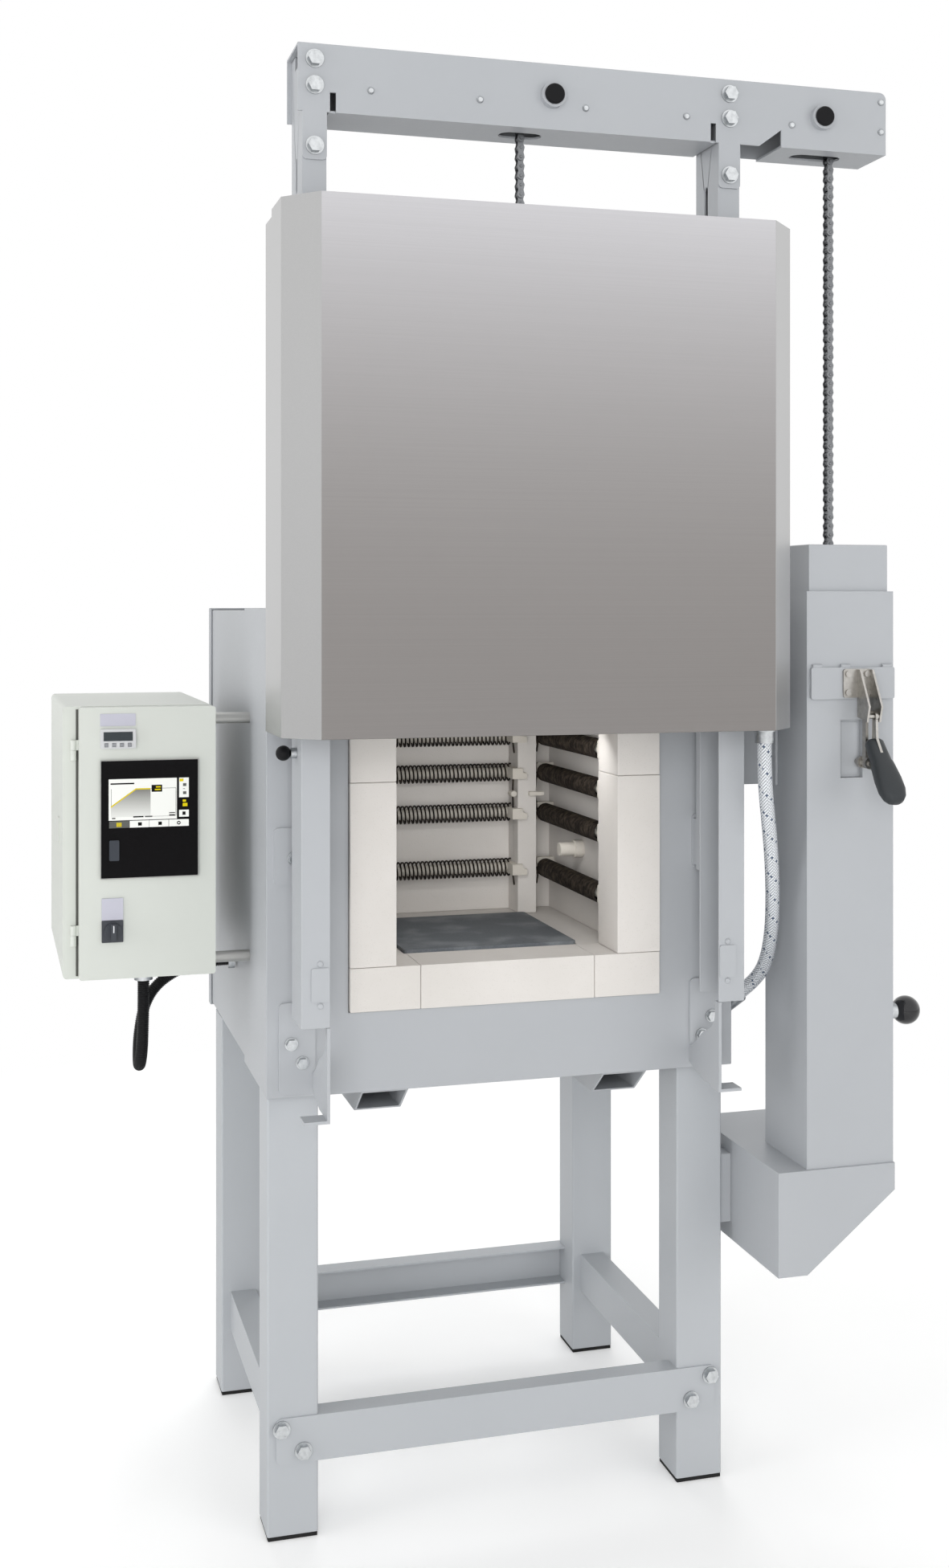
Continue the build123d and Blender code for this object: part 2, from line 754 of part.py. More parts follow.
def wheel_bracket(z):
    """An angle on the door frame with a shouldered pin for one wheel."""
    inner = guide_inner - wheel_shoulder
    outer = guide_inner - wheel_shoulder + wheel_bracket_sheet
    half = wheel_bracket_half
    bracket = block(inner, outer, frame_rear, guide_y + 16, z - half, z + half)
    bracket += block(block_half + 2, outer, frame_rear, frame_rear + wheel_bracket_sheet, z - half, z + half)
    wheel_x = guide_inner + wheel_shoulder
    pin_end = guide_outer - guide_wall - slip_gap
    bracket += rod("x", wheel_bore - turn_gap, outer, pin_end, guide_y, z)
    bracket += rod("x", wheel_bore + 3, outer, wheel_x - slide_gap, guide_y, z)
    bracket += rod("x", wheel_bore + 2, wheel_x + wheel_width + slide_gap, pin_end, guide_y, z)
    return bracket


def wheel(z):
    """A wheel with chamfered rims that runs in the right guide."""
    x0 = guide_inner + wheel_shoulder
    disc = rod("x", wheel_radius, x0, x0 + wheel_width, guide_y, z)
    disc = chamfer(disc.edges().filter_by(GeomType.CIRCLE), 2)
    return disc - rod("x", wheel_bore, x0 - 1, x0 + wheel_width + 1, guide_y, z)


def door():
    """The lift door: stainless casing, frame with its brackets, insulation, coils and wheels."""
    save("door_casing", door_tray())

    margin = door_sheet + slide_gap
    frame = block(-door_half + margin, door_half - margin, frame_front, frame_rear,
                  door_bottom + margin, door_top - margin)
    hole = block_half + slide_gap
    frame -= block(-hole, hole, frame_front - 1, frame_rear + 1, door_mid - hole, door_mid + hole)
    shelf_top = anchor_z - anchor_plate
    anchor = block(-anchor_half, anchor_half, frame_rear, chain_y + 10, shelf_top - anchor_plate, shelf_top)
    anchor += block(-anchor_half, anchor_half, frame_rear, frame_rear + 4, shelf_top - 24, shelf_top)
    anchor += rod("z", 7, shelf_top, anchor_z, 0, chain_y)
    brackets = [wheel_bracket(door_bottom + h) for h in wheel_heights]
    save("door_frame", frame + anchor, *both(*brackets))

    face = collar_front - block_gap
    core = block(-block_half, block_half, door_front + block_front, face,
                 door_mid - block_half, door_mid + block_half)
    core -= block(-coil_field, coil_field, face - coil_recess, face + 1,
                  door_mid - coil_field, door_mid + coil_field)
    coil_y = face - coil_recess / 2
    coils, tubes = [], []
    for i in range(4):
        z = door_mid + (i - 1.5) * door_coil_pitch
        coils.append(coil_sleeve("x", -coil_field + floor_coil_end, coil_field - floor_coil_end, coil_y, z))
        tubes.append(rod("x", coil_carrier_radius, -coil_field, coil_field, coil_y, z))
    save("door_insulation", core, *tubes)
    save("door_coils", *coils)

    for level, height in zip(("lower", "upper"), wheel_heights):
        right = wheel(door_bottom + height)
        save("wheel_" + level + "_right", right)
        save("wheel_" + level + "_left", mirrored(right))


def door_lock():
    """The index plunger on the left guide that holds the raised door."""
    x = -guide_outer
    shell = rod("x", plunger_body_radius, x - plunger_body_length, x, guide_y, plunger_z)
    shell -= rod("x", plunger_radius + turn_gap, x - 20, x + 1, guide_y, plunger_z)
    save("plunger_body", shell)
    face = x - plunger_body_length - slide_gap
    knob = Pos(face - knob_radius * 0.9, guide_y, plunger_z) * Sphere(knob_radius)
    knob -= block(face, face + 20, guide_y - 20, guide_y + 20, plunger_z - 20, plunger_z + 20)
    save("plunger_knob", knob + rod("x", plunger_radius, face - 3, x - slide_gap, guide_y, plunger_z))


def column():
    """The column: a square tube with a shorter cover around it, slotted for the handle."""
    step, wall = cover_step, column_wall
    slot = block(column_right - step - 10, column_right + 1, chain_y - handle_slot / 2,
                 chain_y + handle_slot / 2, handle_z - handle_slot / 2 - 2,
                 handle_z + door_travel + handle_slot / 2 + 4)
    window = block(*window_x, column_front - 10, column_front + step + wall + 1, *window_z)
    tube = block(column_left + step, column_right - step, column_front + step, column_rear - step,
                 column_bottom, column_top)
    tube -= block(column_left + step + wall, column_right - step - wall, column_front + step + wall,
                  column_rear - step - wall, column_bottom - 1, column_top + 1)
    save("column_tube", tube - slot - window)

    gap = step - casing_step
    cover = block(column_left, column_right, column_front, column_rear, column_bottom, cover_top)
    cover -= block(column_left + gap, column_right - gap, column_front + gap, column_rear - gap,
                   column_bottom - 1, cover_top + 1)
    cover += rounded_plate_y(column_left + 4, column_right - 1, *cross_plate_z,
                             column_front - cross_plate_thickness, column_front, 3)
    for x in (column_left + 14, column_left + 57, column_right - 12):
        cover += rod("x", 3, x - 7, x + 7, column_front - 2.5, cross_plate_z[1] + 1.5)
    save("column_cover", cover - slot - window)


def counterweight():
    """The weight that runs in the column, with its lifting handle."""
    half = weight_width / 2
    weight = block(column_x - half, column_x + half, chain_y - half, chain_y + half, weight_bottom, weight_top)
    weight = chamfer(weight.edges().filter_by(Axis.Z), 6)
    eye = rod("z", 8, weight_top, weight_top + eye_length, column_x, chain_y)
    ball_x = column_right + handle_reach
    rod_end = ball_x - 14
    handle = rod("x", handle_rod_radius, column_x + half, rod_end, chain_y, handle_z)
    save("counterweight", weight + eye + handle)
    ball = Pos(ball_x, chain_y, handle_z) * Sphere(handle_ball_radius)
    ball -= rod("x", handle_rod_radius + turn_gap, ball_x - 40, rod_end, chain_y, handle_z)
    save("weight_handle_ball", ball)


def console():
    """The welded console under the column and what ties the column to the body."""
    wall = console_wall
    top = column_bottom
    right = column_right + 1
    outline = [(console_left, top), (right, top), (right, top - console_lip),
               (console_left + console_foot, top - console_drop), (console_left, top - console_drop)]
    inner = [(console_left + wall, top - wall), (right - wall, top - wall),
             (right - wall, top - console_lip + 1),
             (console_left + console_foot - 1, top - console_drop + wall),
             (console_left + wall, top - console_drop + wall)]
    shell = prism_y(outline, column_front - 4, console_rear)
    shell -= prism_y(inner, column_front - 1, console_rear + 1)
    spacer = block(stand_width / 2, console_left, *spacer_y, top - 120, top - 20)
    y1 = body_front + 1
    link = block(half_body, column_left, y1 - link_plate, y1, *link_z)
    link += block(half_body, half_body + link_plate, y1 - link_plate, y1 + 38, *link_z)
    link += block(column_left - link_plate, column_left, y1 - 32, y1, *link_z)
    save("console", shell, spacer, link)


def clamp_base():
    """The clamp's foot with two ears and its two fixed pins."""
    front = column_front - cross_plate_thickness
    foot = rounded_plate_y(*clamp_x, *clamp_z, front - clamp_plate, front, 4)
    face = front - clamp_plate
    side = clamp_mid - 11
    ear = prism_x([(face, 1178), (face - 7, 1178), (face - 33, 1128), (face - 27, 1106), (face, 1112)],
                  side, side + 3)
    foot += ear + Pos(19, 0, 0) * ear
    for x in (clamp_x[0] + 7, clamp_x[1] - 7):
        for z in (clamp_z[0] + 7, clamp_z[1] - 7):
            foot += rod("y", 4.5, face - 3, face, x, z)
    for off, z in ((arm_off, arm_pin_z), (lever_off, lever_pin_z)):
        foot += rod("x", clamp_pin, side, side + 22, column_front - off, z)
    return foot


def clamp_eye_at(x, off, z):
    """A drilled eye that turns on one of the clamp's pins."""
    y = column_front - off
    eye = rod("x", clamp_eye, x, x + clamp_strip, y, z)
    return eye - rod("x", clamp_pin + turn_gap, x - 1, x + clamp_strip + 1, y, z)


def brake():
    """The toggle clamp whose spindle bears on the counterweight through the window."""
    save("clamp_base", clamp_base())

    x = clamp_mid - 5
    y = column_front - arm_off
    arm = clamp_eye_at(x, arm_off, arm_pin_z)
    arm += block(x, x + clamp_strip, y - 5, y + 5, arm_pin_z - arm_length, arm_pin_z - 4)
    z = arm_pin_z - spindle_drop
    tip = chain_y - weight_width / 2 - slide_gap
    mid = x + clamp_strip / 2
    arm += rod("y", spindle_radius, y - 17, tip, mid, z)
    arm += rod("y", nut_radius, y - 14, y - 14 + nut_height, mid, z)
    arm += rod("y", nut_radius, y + 7, y + 7 + nut_height, mid, z)
    save("clamp_arm", arm)

    x = clamp_mid + 1
    y = column_front - lever_off
    lever = clamp_eye_at(x, lever_off, lever_pin_z)
    grip_y = column_front + grip_start[0]
    bar = prism_x([(y - 5, lever_pin_z - 4), (y + 5, lever_pin_z - 4), (grip_y + 2, 1084),
                   (grip_y - 58, 1000), (grip_y - 66, 1006), (grip_y - 10, 1084)], x, x + clamp_strip)
    save("clamp_handle", lever + bar)
    line = Plane(origin=(x + clamp_strip / 2, grip_y, grip_start[1]), z_dir=(0, *grip_run))
    neck = extrude(line * RectangleRounded(14, 16, 5), grip_neck)
    hand = extrude(line.offset(grip_neck) * RectangleRounded(20, 26, 8), grip_length)
    save("clamp_grip", neck + hand - bar)


def hinge_half(low, high, leaf_end, with_pin):
    """Half of a cabinet hinge: a barrel with its leaf; one half carries the pin."""
    barrel = rod("z", hinge_radius, low, high, hinge_x, hinge_y)
    if with_pin:
        return barrel + rod("z", hinge_pin, high, high + hinge_reach - slide_gap, hinge_x, hinge_y) + leaf_end
    return barrel + leaf_end - rod("z", hinge_pin + turn_gap, low - 1, high + 1, hinge_x, hinge_y)


def cabinet_shell():
    """The cabinet's housing on two tubes, with the fixed hinge halves and the gland."""
    left, right, s = cabinet_left, cabinet_right, cabinet_sheet
    front = cabinet_front + cabinet_door_depth + cabinet_seal
    rear = cabinet_front + cabinet_depth
    shell = block(left, right, front, rear, cabinet_bottom, cabinet_top)
    shell = fillet(shell.edges().filter_by(Axis.Y), 6)
    shell -= block(cabinet_door_left + s, right - s, front - 1, front + s + 1,
                   cabinet_bottom + s, cabinet_top - s)
    shell -= block(left + s, right - s, front + s, rear - s, cabinet_bottom + s, cabinet_top - s)
    support_zs = (cabinet_bottom + support_inset[0], cabinet_top - support_inset[1])
    tubes = []
    for z in support_zs:
        shell -= rod("x", support_radius, right - s - 1, right + 1, support_y, z)
        tubes.append(rod("x", support_radius, right - s - 6, -half_body, support_y, z))
    latch = block(left - 1.5, left, *latch_y, *latch_z)
    save("cabinet_housing", shell, latch)
    save("cabinet_supports", *tubes)

    leaves = []
    for z in hinge_zs:
        leaf = block(hinge_x - hinge_radius, hinge_x + 2, hinge_y, front, z - hinge_reach, z - slide_gap)
        leaves.append(hinge_half(z - hinge_reach, z - slide_gap, leaf, True))
    save("cabinet_hinges", *leaves)


def cabinet_lid():
    """The cabinet's door with its hinge knuckles."""
    s = cabinet_sheet
    rear = cabinet_front + cabinet_door_depth
    low, high = cabinet_bottom + 1, cabinet_top - 1
    lid = block(cabinet_door_left, cabinet_right, cabinet_front, rear, low, high)
    lid = fillet(lid.edges().filter_by(Axis.Y), 4)
    lid -= block(cabinet_door_left + s, cabinet_right - s, cabinet_front + s, rear + 1, low + s, high - s)
    for z in hinge_zs:
        leaf = block(hinge_x, cabinet_door_left + 1, hinge_y - 1, hinge_y + 1, z, z + hinge_reach)
        lid += hinge_half(z, z + hinge_reach, leaf, False)
    return lid


def cabinet_front_parts():
    """Controller, limiter, labels and switch on the cabinet's door."""
    front = cabinet_front
    face = front - panel_proud
    panel = rounded_plate_y(*panel_x, *panel_z, face, front, 2)
    panel -= block(*screen_x, face - 1, face + 1, *screen_z)
    screen = block(screen_x[0] + slide_gap, screen_x[1] - slide_gap, face + 0.2, face + 1,
                   screen_z[0] + slide_gap, screen_z[1] - slide_gap)
    save("controller_panel", panel, screen)
    save("usb_flap", rounded_plate_y(*flap_x, *flap_z, face - slide_gap - 1.8, face - slide_gap, 1.5))

    face = front - limiter_proud
    limiter = rounded_plate_y(*limiter_x, *limiter_z, face, front, 2)
    limiter -= block(*limiter_window_x, face - 1, face + 1, *limiter_window_z)
    hole = key_half + slide_gap
    for i, x in enumerate(key_xs):
        limiter -= block(x - hole, x + hole, face - 1, front - 2, key_z[0] - slide_gap, key_z[1] + slide_gap)
        key = block(x - key_half, x + key_half, face - key_travel, front - 2 - 1.5 * key_travel, *key_z)
        save("limiter_key_" + str(i + 1), key)
    save("limiter", limiter)

    face = front - panel_proud
    plate = rounded_plate_y(*switch_x, *switch_plate_z, face, front, 1)
    plate -= rod("y", clamp_pin + turn_gap, face - 1, front + 1, knob_x, knob_z)
    save("front_plates", plate, rounded_plate_y(*limiter_x, *strip_z, front - 1.2, front, 1),
         rounded_plate_y(*switch_x, *switch_label_z, front - 3, front, 1))
    knob = rod("y", switch_knob_radius, face - 5, face - slide_gap, knob_x, knob_z)
    wing_half, wing_length = switch_wing
    knob += block(knob_x - wing_half, knob_x + wing_half, face - 16, face - 5,
                  knob_z - wing_length, knob_z + wing_length)
    save("switch_knob", knob + rod("y", clamp_pin, face - 5, front - 1, knob_x, knob_z))


def cord_tube(points, radius, name):
    """A round tube through chosen points, with arcs as large as the runs allow."""
    spots = [Vector(*p) for p in points]
    radii = []
    for a, b, c in zip(spots, spots[1:], spots[2:]):
        turn = math.radians((b - a).get_angle(c - b))
        short = min((b - a).length, (c - b).length)
        radii.append(0.45 * short / math.tan(turn / 2))
    path = FilletPolyline(*spots, radius=radii)
    print(name, "length", round(path.length, 1), "radii", [round(r) for r in radii])
    ends = Plane(origin=spots[0], z_dir=spots[1] - spots[0])
    return sweep(ends * Circle(radius), path)


def cords():
    """The braided hose to the door and the corrugated conduit to the body, with their glands."""
    save("door_hose", cord_tube(hose_points, hose_radius, "door_hose"))
    save("cabinet_conduit", cord_tube(conduit_points, conduit_radius, "cabinet_conduit"))

    x, y, z = hose_points[0]
    fitting = rod("z", gland_radius, z, door_bottom - 6, x, y)
    save("hose_fitting", fitting + rod("z", gland_radius + 3, door_bottom - 6, door_bottom, x, y))

    end, before = Vector(*hose_points[-1]), Vector(*hose_points[-2])
    hose_socket = extrude(Plane(origin=end, z_dir=end - before) * Circle(gland_radius), 60)
    hose_socket -= Pos(half_body - 50, end.Y, end.Z) * Box(100, 200, 200)
    x, y, z = conduit_points[-1]
    conduit_socket = rod("x", gland_radius, x, -half_body, y, z)
    x, y, z = conduit_points[0]
    gland = rod("z", gland_radius, z, cabinet_bottom, x, y)
    save("cable_glands", hose_socket, conduit_socket, gland)


os.makedirs("parts", exist_ok=True)
bolts = stand()
casings()
collar()
heating(chamber())
bolts += portal()
bolts += beam()
save("hex_bolts", *bolts)
drive()
door()
door_lock()
column()
counterweight()
console()
brake()
cabinet_shell()
save("cabinet_door", cabinet_lid())
cabinet_front_parts()
cords()
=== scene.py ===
import bmesh
import bpy
import math
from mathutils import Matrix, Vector


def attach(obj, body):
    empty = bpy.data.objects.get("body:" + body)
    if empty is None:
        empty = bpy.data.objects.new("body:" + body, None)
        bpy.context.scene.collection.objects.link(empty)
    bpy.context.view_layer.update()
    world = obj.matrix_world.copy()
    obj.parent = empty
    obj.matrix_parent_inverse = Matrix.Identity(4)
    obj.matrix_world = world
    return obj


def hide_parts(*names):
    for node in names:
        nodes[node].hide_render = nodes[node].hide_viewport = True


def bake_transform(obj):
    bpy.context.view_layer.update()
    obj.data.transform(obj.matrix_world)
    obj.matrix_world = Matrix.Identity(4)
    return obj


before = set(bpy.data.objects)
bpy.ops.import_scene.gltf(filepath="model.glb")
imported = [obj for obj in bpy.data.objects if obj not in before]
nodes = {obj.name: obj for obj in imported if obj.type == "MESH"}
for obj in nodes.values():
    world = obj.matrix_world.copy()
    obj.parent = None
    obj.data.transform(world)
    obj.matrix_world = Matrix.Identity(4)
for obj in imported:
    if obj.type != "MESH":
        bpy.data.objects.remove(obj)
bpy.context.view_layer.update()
scene = bpy.context.scene
MM = 0.001


# Camera, from a fit over the photograph's straight edges: lengths in its pixels, places in metres

photo_height = 1952
focal_length = 2189.84
horizon_above_middle = 221.3
film_height = 36
camera_place = (-0.7102, -2.6286, 1.266)
camera_turn = -15.81


def photo_camera():
    """The photograph's camera: level, to the left of the furnace, turned right towards it."""
    lens = bpy.data.cameras.new("photo_camera")
    lens.sensor_fit = "VERTICAL"
    lens.sensor_height = film_height
    lens.lens = film_height * focal_length / photo_height
    lens.shift_y = -horizon_above_middle / photo_height
    camera = bpy.data.objects.new("photo_camera", lens)
    camera.location = camera_place
    camera.rotation_euler = (math.radians(90), 0, math.radians(camera_turn))
    scene.collection.objects.link(camera)
    scene.camera = camera


# Light and floor, in metres

sky_dim, sky_bright = 0.46, 0.64
floor_half = 14
floor_glow = 0.2
floor_shown, floor_gone = 1.0, 2.4


def linear(code):
    """An sRGB hex colour as linear red, green, blue and alpha."""
    parts = [int(code[i:i + 2], 16) / 255 for i in (1, 3, 5)]
    return [c / 12.92 if c <= 0.04045 else ((c + 0.055) / 1.055) ** 2.4 for c in parts] + [1]


def add(tree, kind, inputs=None, **settings):
    """Adds one node, sets its properties, and fills or links its inputs."""
    made = tree.nodes.new("ShaderNode" + kind)
    for key, value in settings.items():
        setattr(made, key, value)
    for key, value in (inputs or {}).items():
        if isinstance(value, bpy.types.NodeSocket):
            tree.links.new(value, made.inputs[key])
        else:
            made.inputs[key].default_value = value
    return made


def maths(tree, operation, first, second=0.5, third=0.5, clamp=False):
    """The value that an operation makes of up to three values."""
    inputs = {0: first, 1: second, 2: third}
    return add(tree, "Math", inputs, operation=operation, use_clamp=clamp).outputs[0]


def ramp(tree, value, start, end, low=0.0, high=1.0):
    """Goes from low to high while a value goes from start to end, and no farther."""
    return add(tree, "MapRange", {"Value": value, "From Min": start, "From Max": end,
                                  "To Min": low, "To Max": high}).outputs[0]


def axis_of(tree, vector, axis):
    """One axis of a vector."""
    return add(tree, "SeparateXYZ", {0: vector}).outputs[axis]


def sky():
    """A white background to the eye, and for the light a soft sky that is brighter above."""
    world = bpy.data.worlds.new("studio")
    scene.world = world
    world.use_nodes = True
    tree = world.node_tree
    tree.nodes.clear()
    path = add(tree, "LightPath")
    height = axis_of(tree, add(tree, "TexCoord").outputs["Generated"], "Z")
    strength = ramp(tree, height, -0.15, 0.5, sky_dim, sky_bright)
    soft = add(tree, "Background", {"Color": linear("#f7f7f6"), "Strength": strength})
    white = add(tree, "Background", {"Color": (1, 1, 1, 1), "Strength": 1.0})
    seen = maths(tree, "ADD", path.outputs["Is Camera Ray"], path.outputs["Is Glossy Ray"])
    seen = maths(tree, "ADD", seen, path.outputs["Is Transmission Ray"], clamp=True)
    mix = add(tree, "MixShader", {0: seen, 1: soft.outputs[0], 2: white.outputs[0]})
    add(tree, "OutputWorld", {"Surface": mix.outputs[0]})


def floor_finish():
    """A pale floor that takes shadows near the furnace and melts into the white farther off."""
    material = bpy.data.materials.new("pale_floor")
    material.use_nodes = True
    tree = material.node_tree
    shader = tree.nodes["Principled BSDF"]
    shader.inputs["Base Color"].default_value = linear("#f2f2f2")
    shader.inputs["Roughness"].default_value = 0.7
    glow = add(tree, "Emission", {"Color": (1, 1, 1, 1), "Strength": floor_glow})
    both = add(tree, "AddShader", {0: shader.outputs[0], 1: glow.outputs[0]})
    place = add(tree, "NewGeometry").outputs["Position"]
    away = add(tree, "VectorMath", {0: place}, operation="LENGTH").outputs["Value"]
    away = ramp(tree, away, floor_shown, floor_gone)
    backdrop = add(tree, "Emission", {"Color": (1, 1, 1, 1), "Strength": 1.0})
    near = add(tree, "MixShader", {0: away, 1: both.outputs[0], 2: backdrop.outputs[0]})
    seen = add(tree, "LightPath").outputs["Is Camera Ray"]
    mix = add(tree, "MixShader", {0: seen, 1: shader.outputs[0], 2: near.outputs[0]})
    tree.links.new(mix.outputs[0], tree.nodes["Material Output"].inputs["Surface"])
    return material


def lay_floor():
    """The studio's floor, which is no piece of the furnace."""
    bm = bmesh.new()
    bmesh.ops.create_grid(bm, x_segments=8, y_segments=8, size=floor_half)
    mesh = bpy.data.meshes.new("floor")
    bm.to_mesh(mesh)
    bm.free()
    floor = bpy.data.objects.new("floor", mesh)
    scene.collection.objects.link(floor)
    mesh.materials.append(floor_finish())


def softbox(name, place, target, width, height, watts):
    """A soft lamp that faces a point and is itself neither seen nor mirrored."""
    lamp = bpy.data.lights.new(name, "AREA")
    lamp.shape = "RECTANGLE"
    lamp.size = width
    lamp.size_y = height
    lamp.energy = watts
    made = bpy.data.objects.new(name, lamp)
    made.location = place
    made.rotation_euler = (Vector(target) - Vector(place)).to_track_quat("-Z", "Y").to_euler()
    made.visible_camera = False
    made.visible_glossy = False
    scene.collection.objects.link(made)


def lamps():
    """Softboxes in front, to the left, to the right and behind, and a small one in the chamber."""
    softbox("key", (-1.5, -4.6, 1.5), (0, -0.3, 1.0), width=2.8, height=2.4, watts=92)
    softbox("left", (-4.2, -0.6, 1.6), (0, 0, 1.0), width=2.6, height=2.4, watts=52)
    softbox("chamber", (0, -0.24, 1.09), (0, -0.06, 0.78), width=0.26, height=0.06, watts=0.5)
    softbox("fill", (2.6, -3.6, 1.7), (0, 0, 1.0), width=2.4, height=2.4, watts=30)
    softbox("back", (0.5, 3.4, 3.2), (0, 0, 1.2), width=2.8, height=2.0, watts=70)


photo_camera()
scene.view_settings.view_transform = "Standard"
sky()
lay_floor()
lamps()


# Materials: grains and heights in metres, a noise's scale in cells to the metre

grind_spacing = 0.0012
# Heights between which the door's painted sky reflection goes from dark at the foot to light at the top
painted_reflection_foot, painted_reflection_top = 1.1, 1.775
switch_plate_top = 0.8352
ramp_foot, ramp_top = 0.975, 1.015
braid_bands, braid_lay = 14.0, 0.0045


def surface(name, roughness, metallic=0.0, **sockets):
    """A material, its node tree, its shader and the place of each point in metres."""
    material = bpy.data.materials.new(name)
    material.use_nodes = True
    tree = material.node_tree
    shader = tree.nodes["Principled BSDF"]
    shader.inputs["Roughness"].default_value = roughness
    shader.inputs["Metallic"].default_value = metallic
    for key, value in sockets.items():
        shader.inputs[key.replace("_", " ")].default_value = value
    return material, tree, shader, add(tree, "TexCoord").outputs["Object"]


def noise(tree, place, scale, detail=2.0):
    """Cloudy noise between 0 and 1."""
    return add(tree, "TexNoise", {"Vector": place, "Scale": scale, "Detail": detail}).outputs[0]


def cells(tree, place, scale):
    """The distance to the middle of the nearest of many scattered cells."""
    return add(tree, "TexVoronoi", {"Vector": place, "Scale": scale}).outputs["Distance"]


def ground_lines(tree, place):
    """The fine lines that a grinding belt leaves along X, drawn wide enough to show."""
    fine = 1 / grind_spacing
    lines = add(tree, "Mapping", {"Vector": place, "Scale": (2.0, fine, fine)})
    return noise(tree, lines.outputs[0], 1.0, 3.0)


def mixed(tree, factor, first, second, blend="MIX"):
    """A colour made of two others, each of them a hex code or a socket."""
    first, second = [linear(c) if isinstance(c, str) else c for c in (first, second)]
    inputs = {0: factor, 6: first, 7: second}
    return add(tree, "Mix", inputs, data_type="RGBA", blend_type=blend).outputs[2]


def two_tone(tree, shader, factor, dark, light):
    """Colours the shader between two colours by a factor."""
    tree.links.new(mixed(tree, factor, dark, light), shader.inputs["Base Color"])


def sheen(tree, shader, value, smooth, rough):
    """Varies the shader's roughness between two limits by a value."""
    tree.links.new(ramp(tree, value, 0.0, 1.0, smooth, rough), shader.inputs["Roughness"])


def relief(tree, shader, height, strength, depth):
    """Raises the surface by a height, at most depth metres."""
    bump = add(tree, "Bump", {"Height": height, "Strength": strength, "Distance": depth})
    tree.links.new(bump.outputs[0], shader.inputs["Normal"])


def powder_coat(name, dark, light):
    """Baked polyester powder on sheet steel: a soft sheen, broken by orange peel of 2 mm."""
    material, tree, shader, place = surface(name, 0.42)
    peel = noise(tree, place, 1 / 0.002, 1.0)
    two_tone(tree, shader, noise(tree, place, 2.5, 4.0), dark, light)
    sheen(tree, shader, peel, 0.34, 0.52)
    relief(tree, shader, peel, 0.18, 0.0002)
    return material


def brushed_stainless(name, dark, light):
    """Stainless tube ground with a belt, in faint clouds of dark and light."""
    material, tree, shader, place = surface(name, 0.34, 1.0)
    grind = ground_lines(tree, place)
    both = maths(tree, "ADD", grind, noise(tree, place, 3.5, 3.0))
    two_tone(tree, shader, maths(tree, "MULTIPLY", both, 0.5), dark, light)
    sheen(tree, shader, grind, 0.26, 0.44)
    relief(tree, shader, grind, 0.12, 0.0001)
    return material


def door_sheet():
    """Belt-ground stainless of the door, with painted reflection: its face darkens to the foot as a painted
    reflection of the sky, and its bent edges are paler as a painted highlight.
    """
    material, tree, shader, place = surface("belt_ground_stainless", 0.34, 1.0)
    grind = ground_lines(tree, place)
    # Painted reflection: the face is darker low down and lighter high up, as a mirror of a sky that is
    # brighter above
    rise = ramp(tree, axis_of(tree, place, "Z"), painted_reflection_foot, painted_reflection_top)
    painted_sky_reflection = mixed(tree, maths(tree, "POWER", rise, 2.5), "#9b9795", "#d8d7da")
    # Painted highlight: the bent side edges, which are turned across, are painted paler
    bent = maths(tree, "ABSOLUTE", axis_of(tree, add(tree, "TexCoord").outputs["Normal"], "X"))
    sheet_with_painted_edge_highlight = mixed(tree, ramp(tree, bent, 0.1, 0.4), painted_sky_reflection, "#c2c2c2")
    tone = mixed(tree, 1.0, sheet_with_painted_edge_highlight, ramp(tree, grind, 0.0, 1.0, 0.93, 1.05), "MULTIPLY")
    tree.links.new(tone, shader.inputs["Base Color"])
    sheen(tree, shader, grind, 0.26, 0.44)
    relief(tree, shader, grind, 0.1, 0.0001)
    return material


def plated_steel(name, dark, light, roughness):
    """Turned or pressed steel with a plated skin, in random blotches; painted light makes it brighter where
    it faces the front, and painted shade darkens it round its edges.
    """
    material, tree, shader, place = surface(name, roughness, 1.0)
    blotch = noise(tree, place, 1 / 0.006, 4.0)
    # Painted light and shade: faces turned to the front are painted brighter, and edges turned away are
    # painted darker
    painted_light_by_facing = maths(tree, "ABSOLUTE", axis_of(tree, add(tree, "TexCoord").outputs["Normal"], "Y"))
    tone = maths(tree, "ADD", blotch, ramp(tree, painted_light_by_facing, 0.6, 0.98, -0.3, 0.4), clamp=True)
    two_tone(tree, shader, tone, dark, light)
    sheen(tree, shader, blotch, roughness * 0.7, roughness * 1.4)
    relief(tree, shader, noise(tree, place, 1 / 0.0009, 1.0), 0.06, 0.0001)
    return material


def insulating_brick(name, dark, light):
    """Sawn light firebrick: chalky, in pale clouds, with pores of 1 to 2 mm."""
    material, tree, shader, place = surface(name, 0.92)
    pit = ramp(tree, cells(tree, place, 1 / 0.0035), 0.0, 0.22)
    tone = maths(tree, "MULTIPLY_ADD", pit, noise(tree, place, 6.0, 5.0), 0.25)
    two_tone(tree, shader, tone, dark, light)
    rough = maths(tree, "MULTIPLY_ADD", noise(tree, place, 1 / 0.0015, 3.0), 0.5, pit)
    relief(tree, shader, rough, 0.35, 0.0006)
    return material


def heating_wire():
    """Resistance wire after firing: an oxide skin, dull brown black with paler blooms of 8 mm."""
    material, tree, shader, place = surface("fired_heating_wire", 0.68, 0.3)
    bloom = noise(tree, place, 1 / 0.008, 5.0)
    two_tone(tree, shader, ramp(tree, bloom, 0.42, 0.72), "#1b1612", "#4a4138")
    relief(tree, shader, bloom, 0.3, 0.0003)
    return material


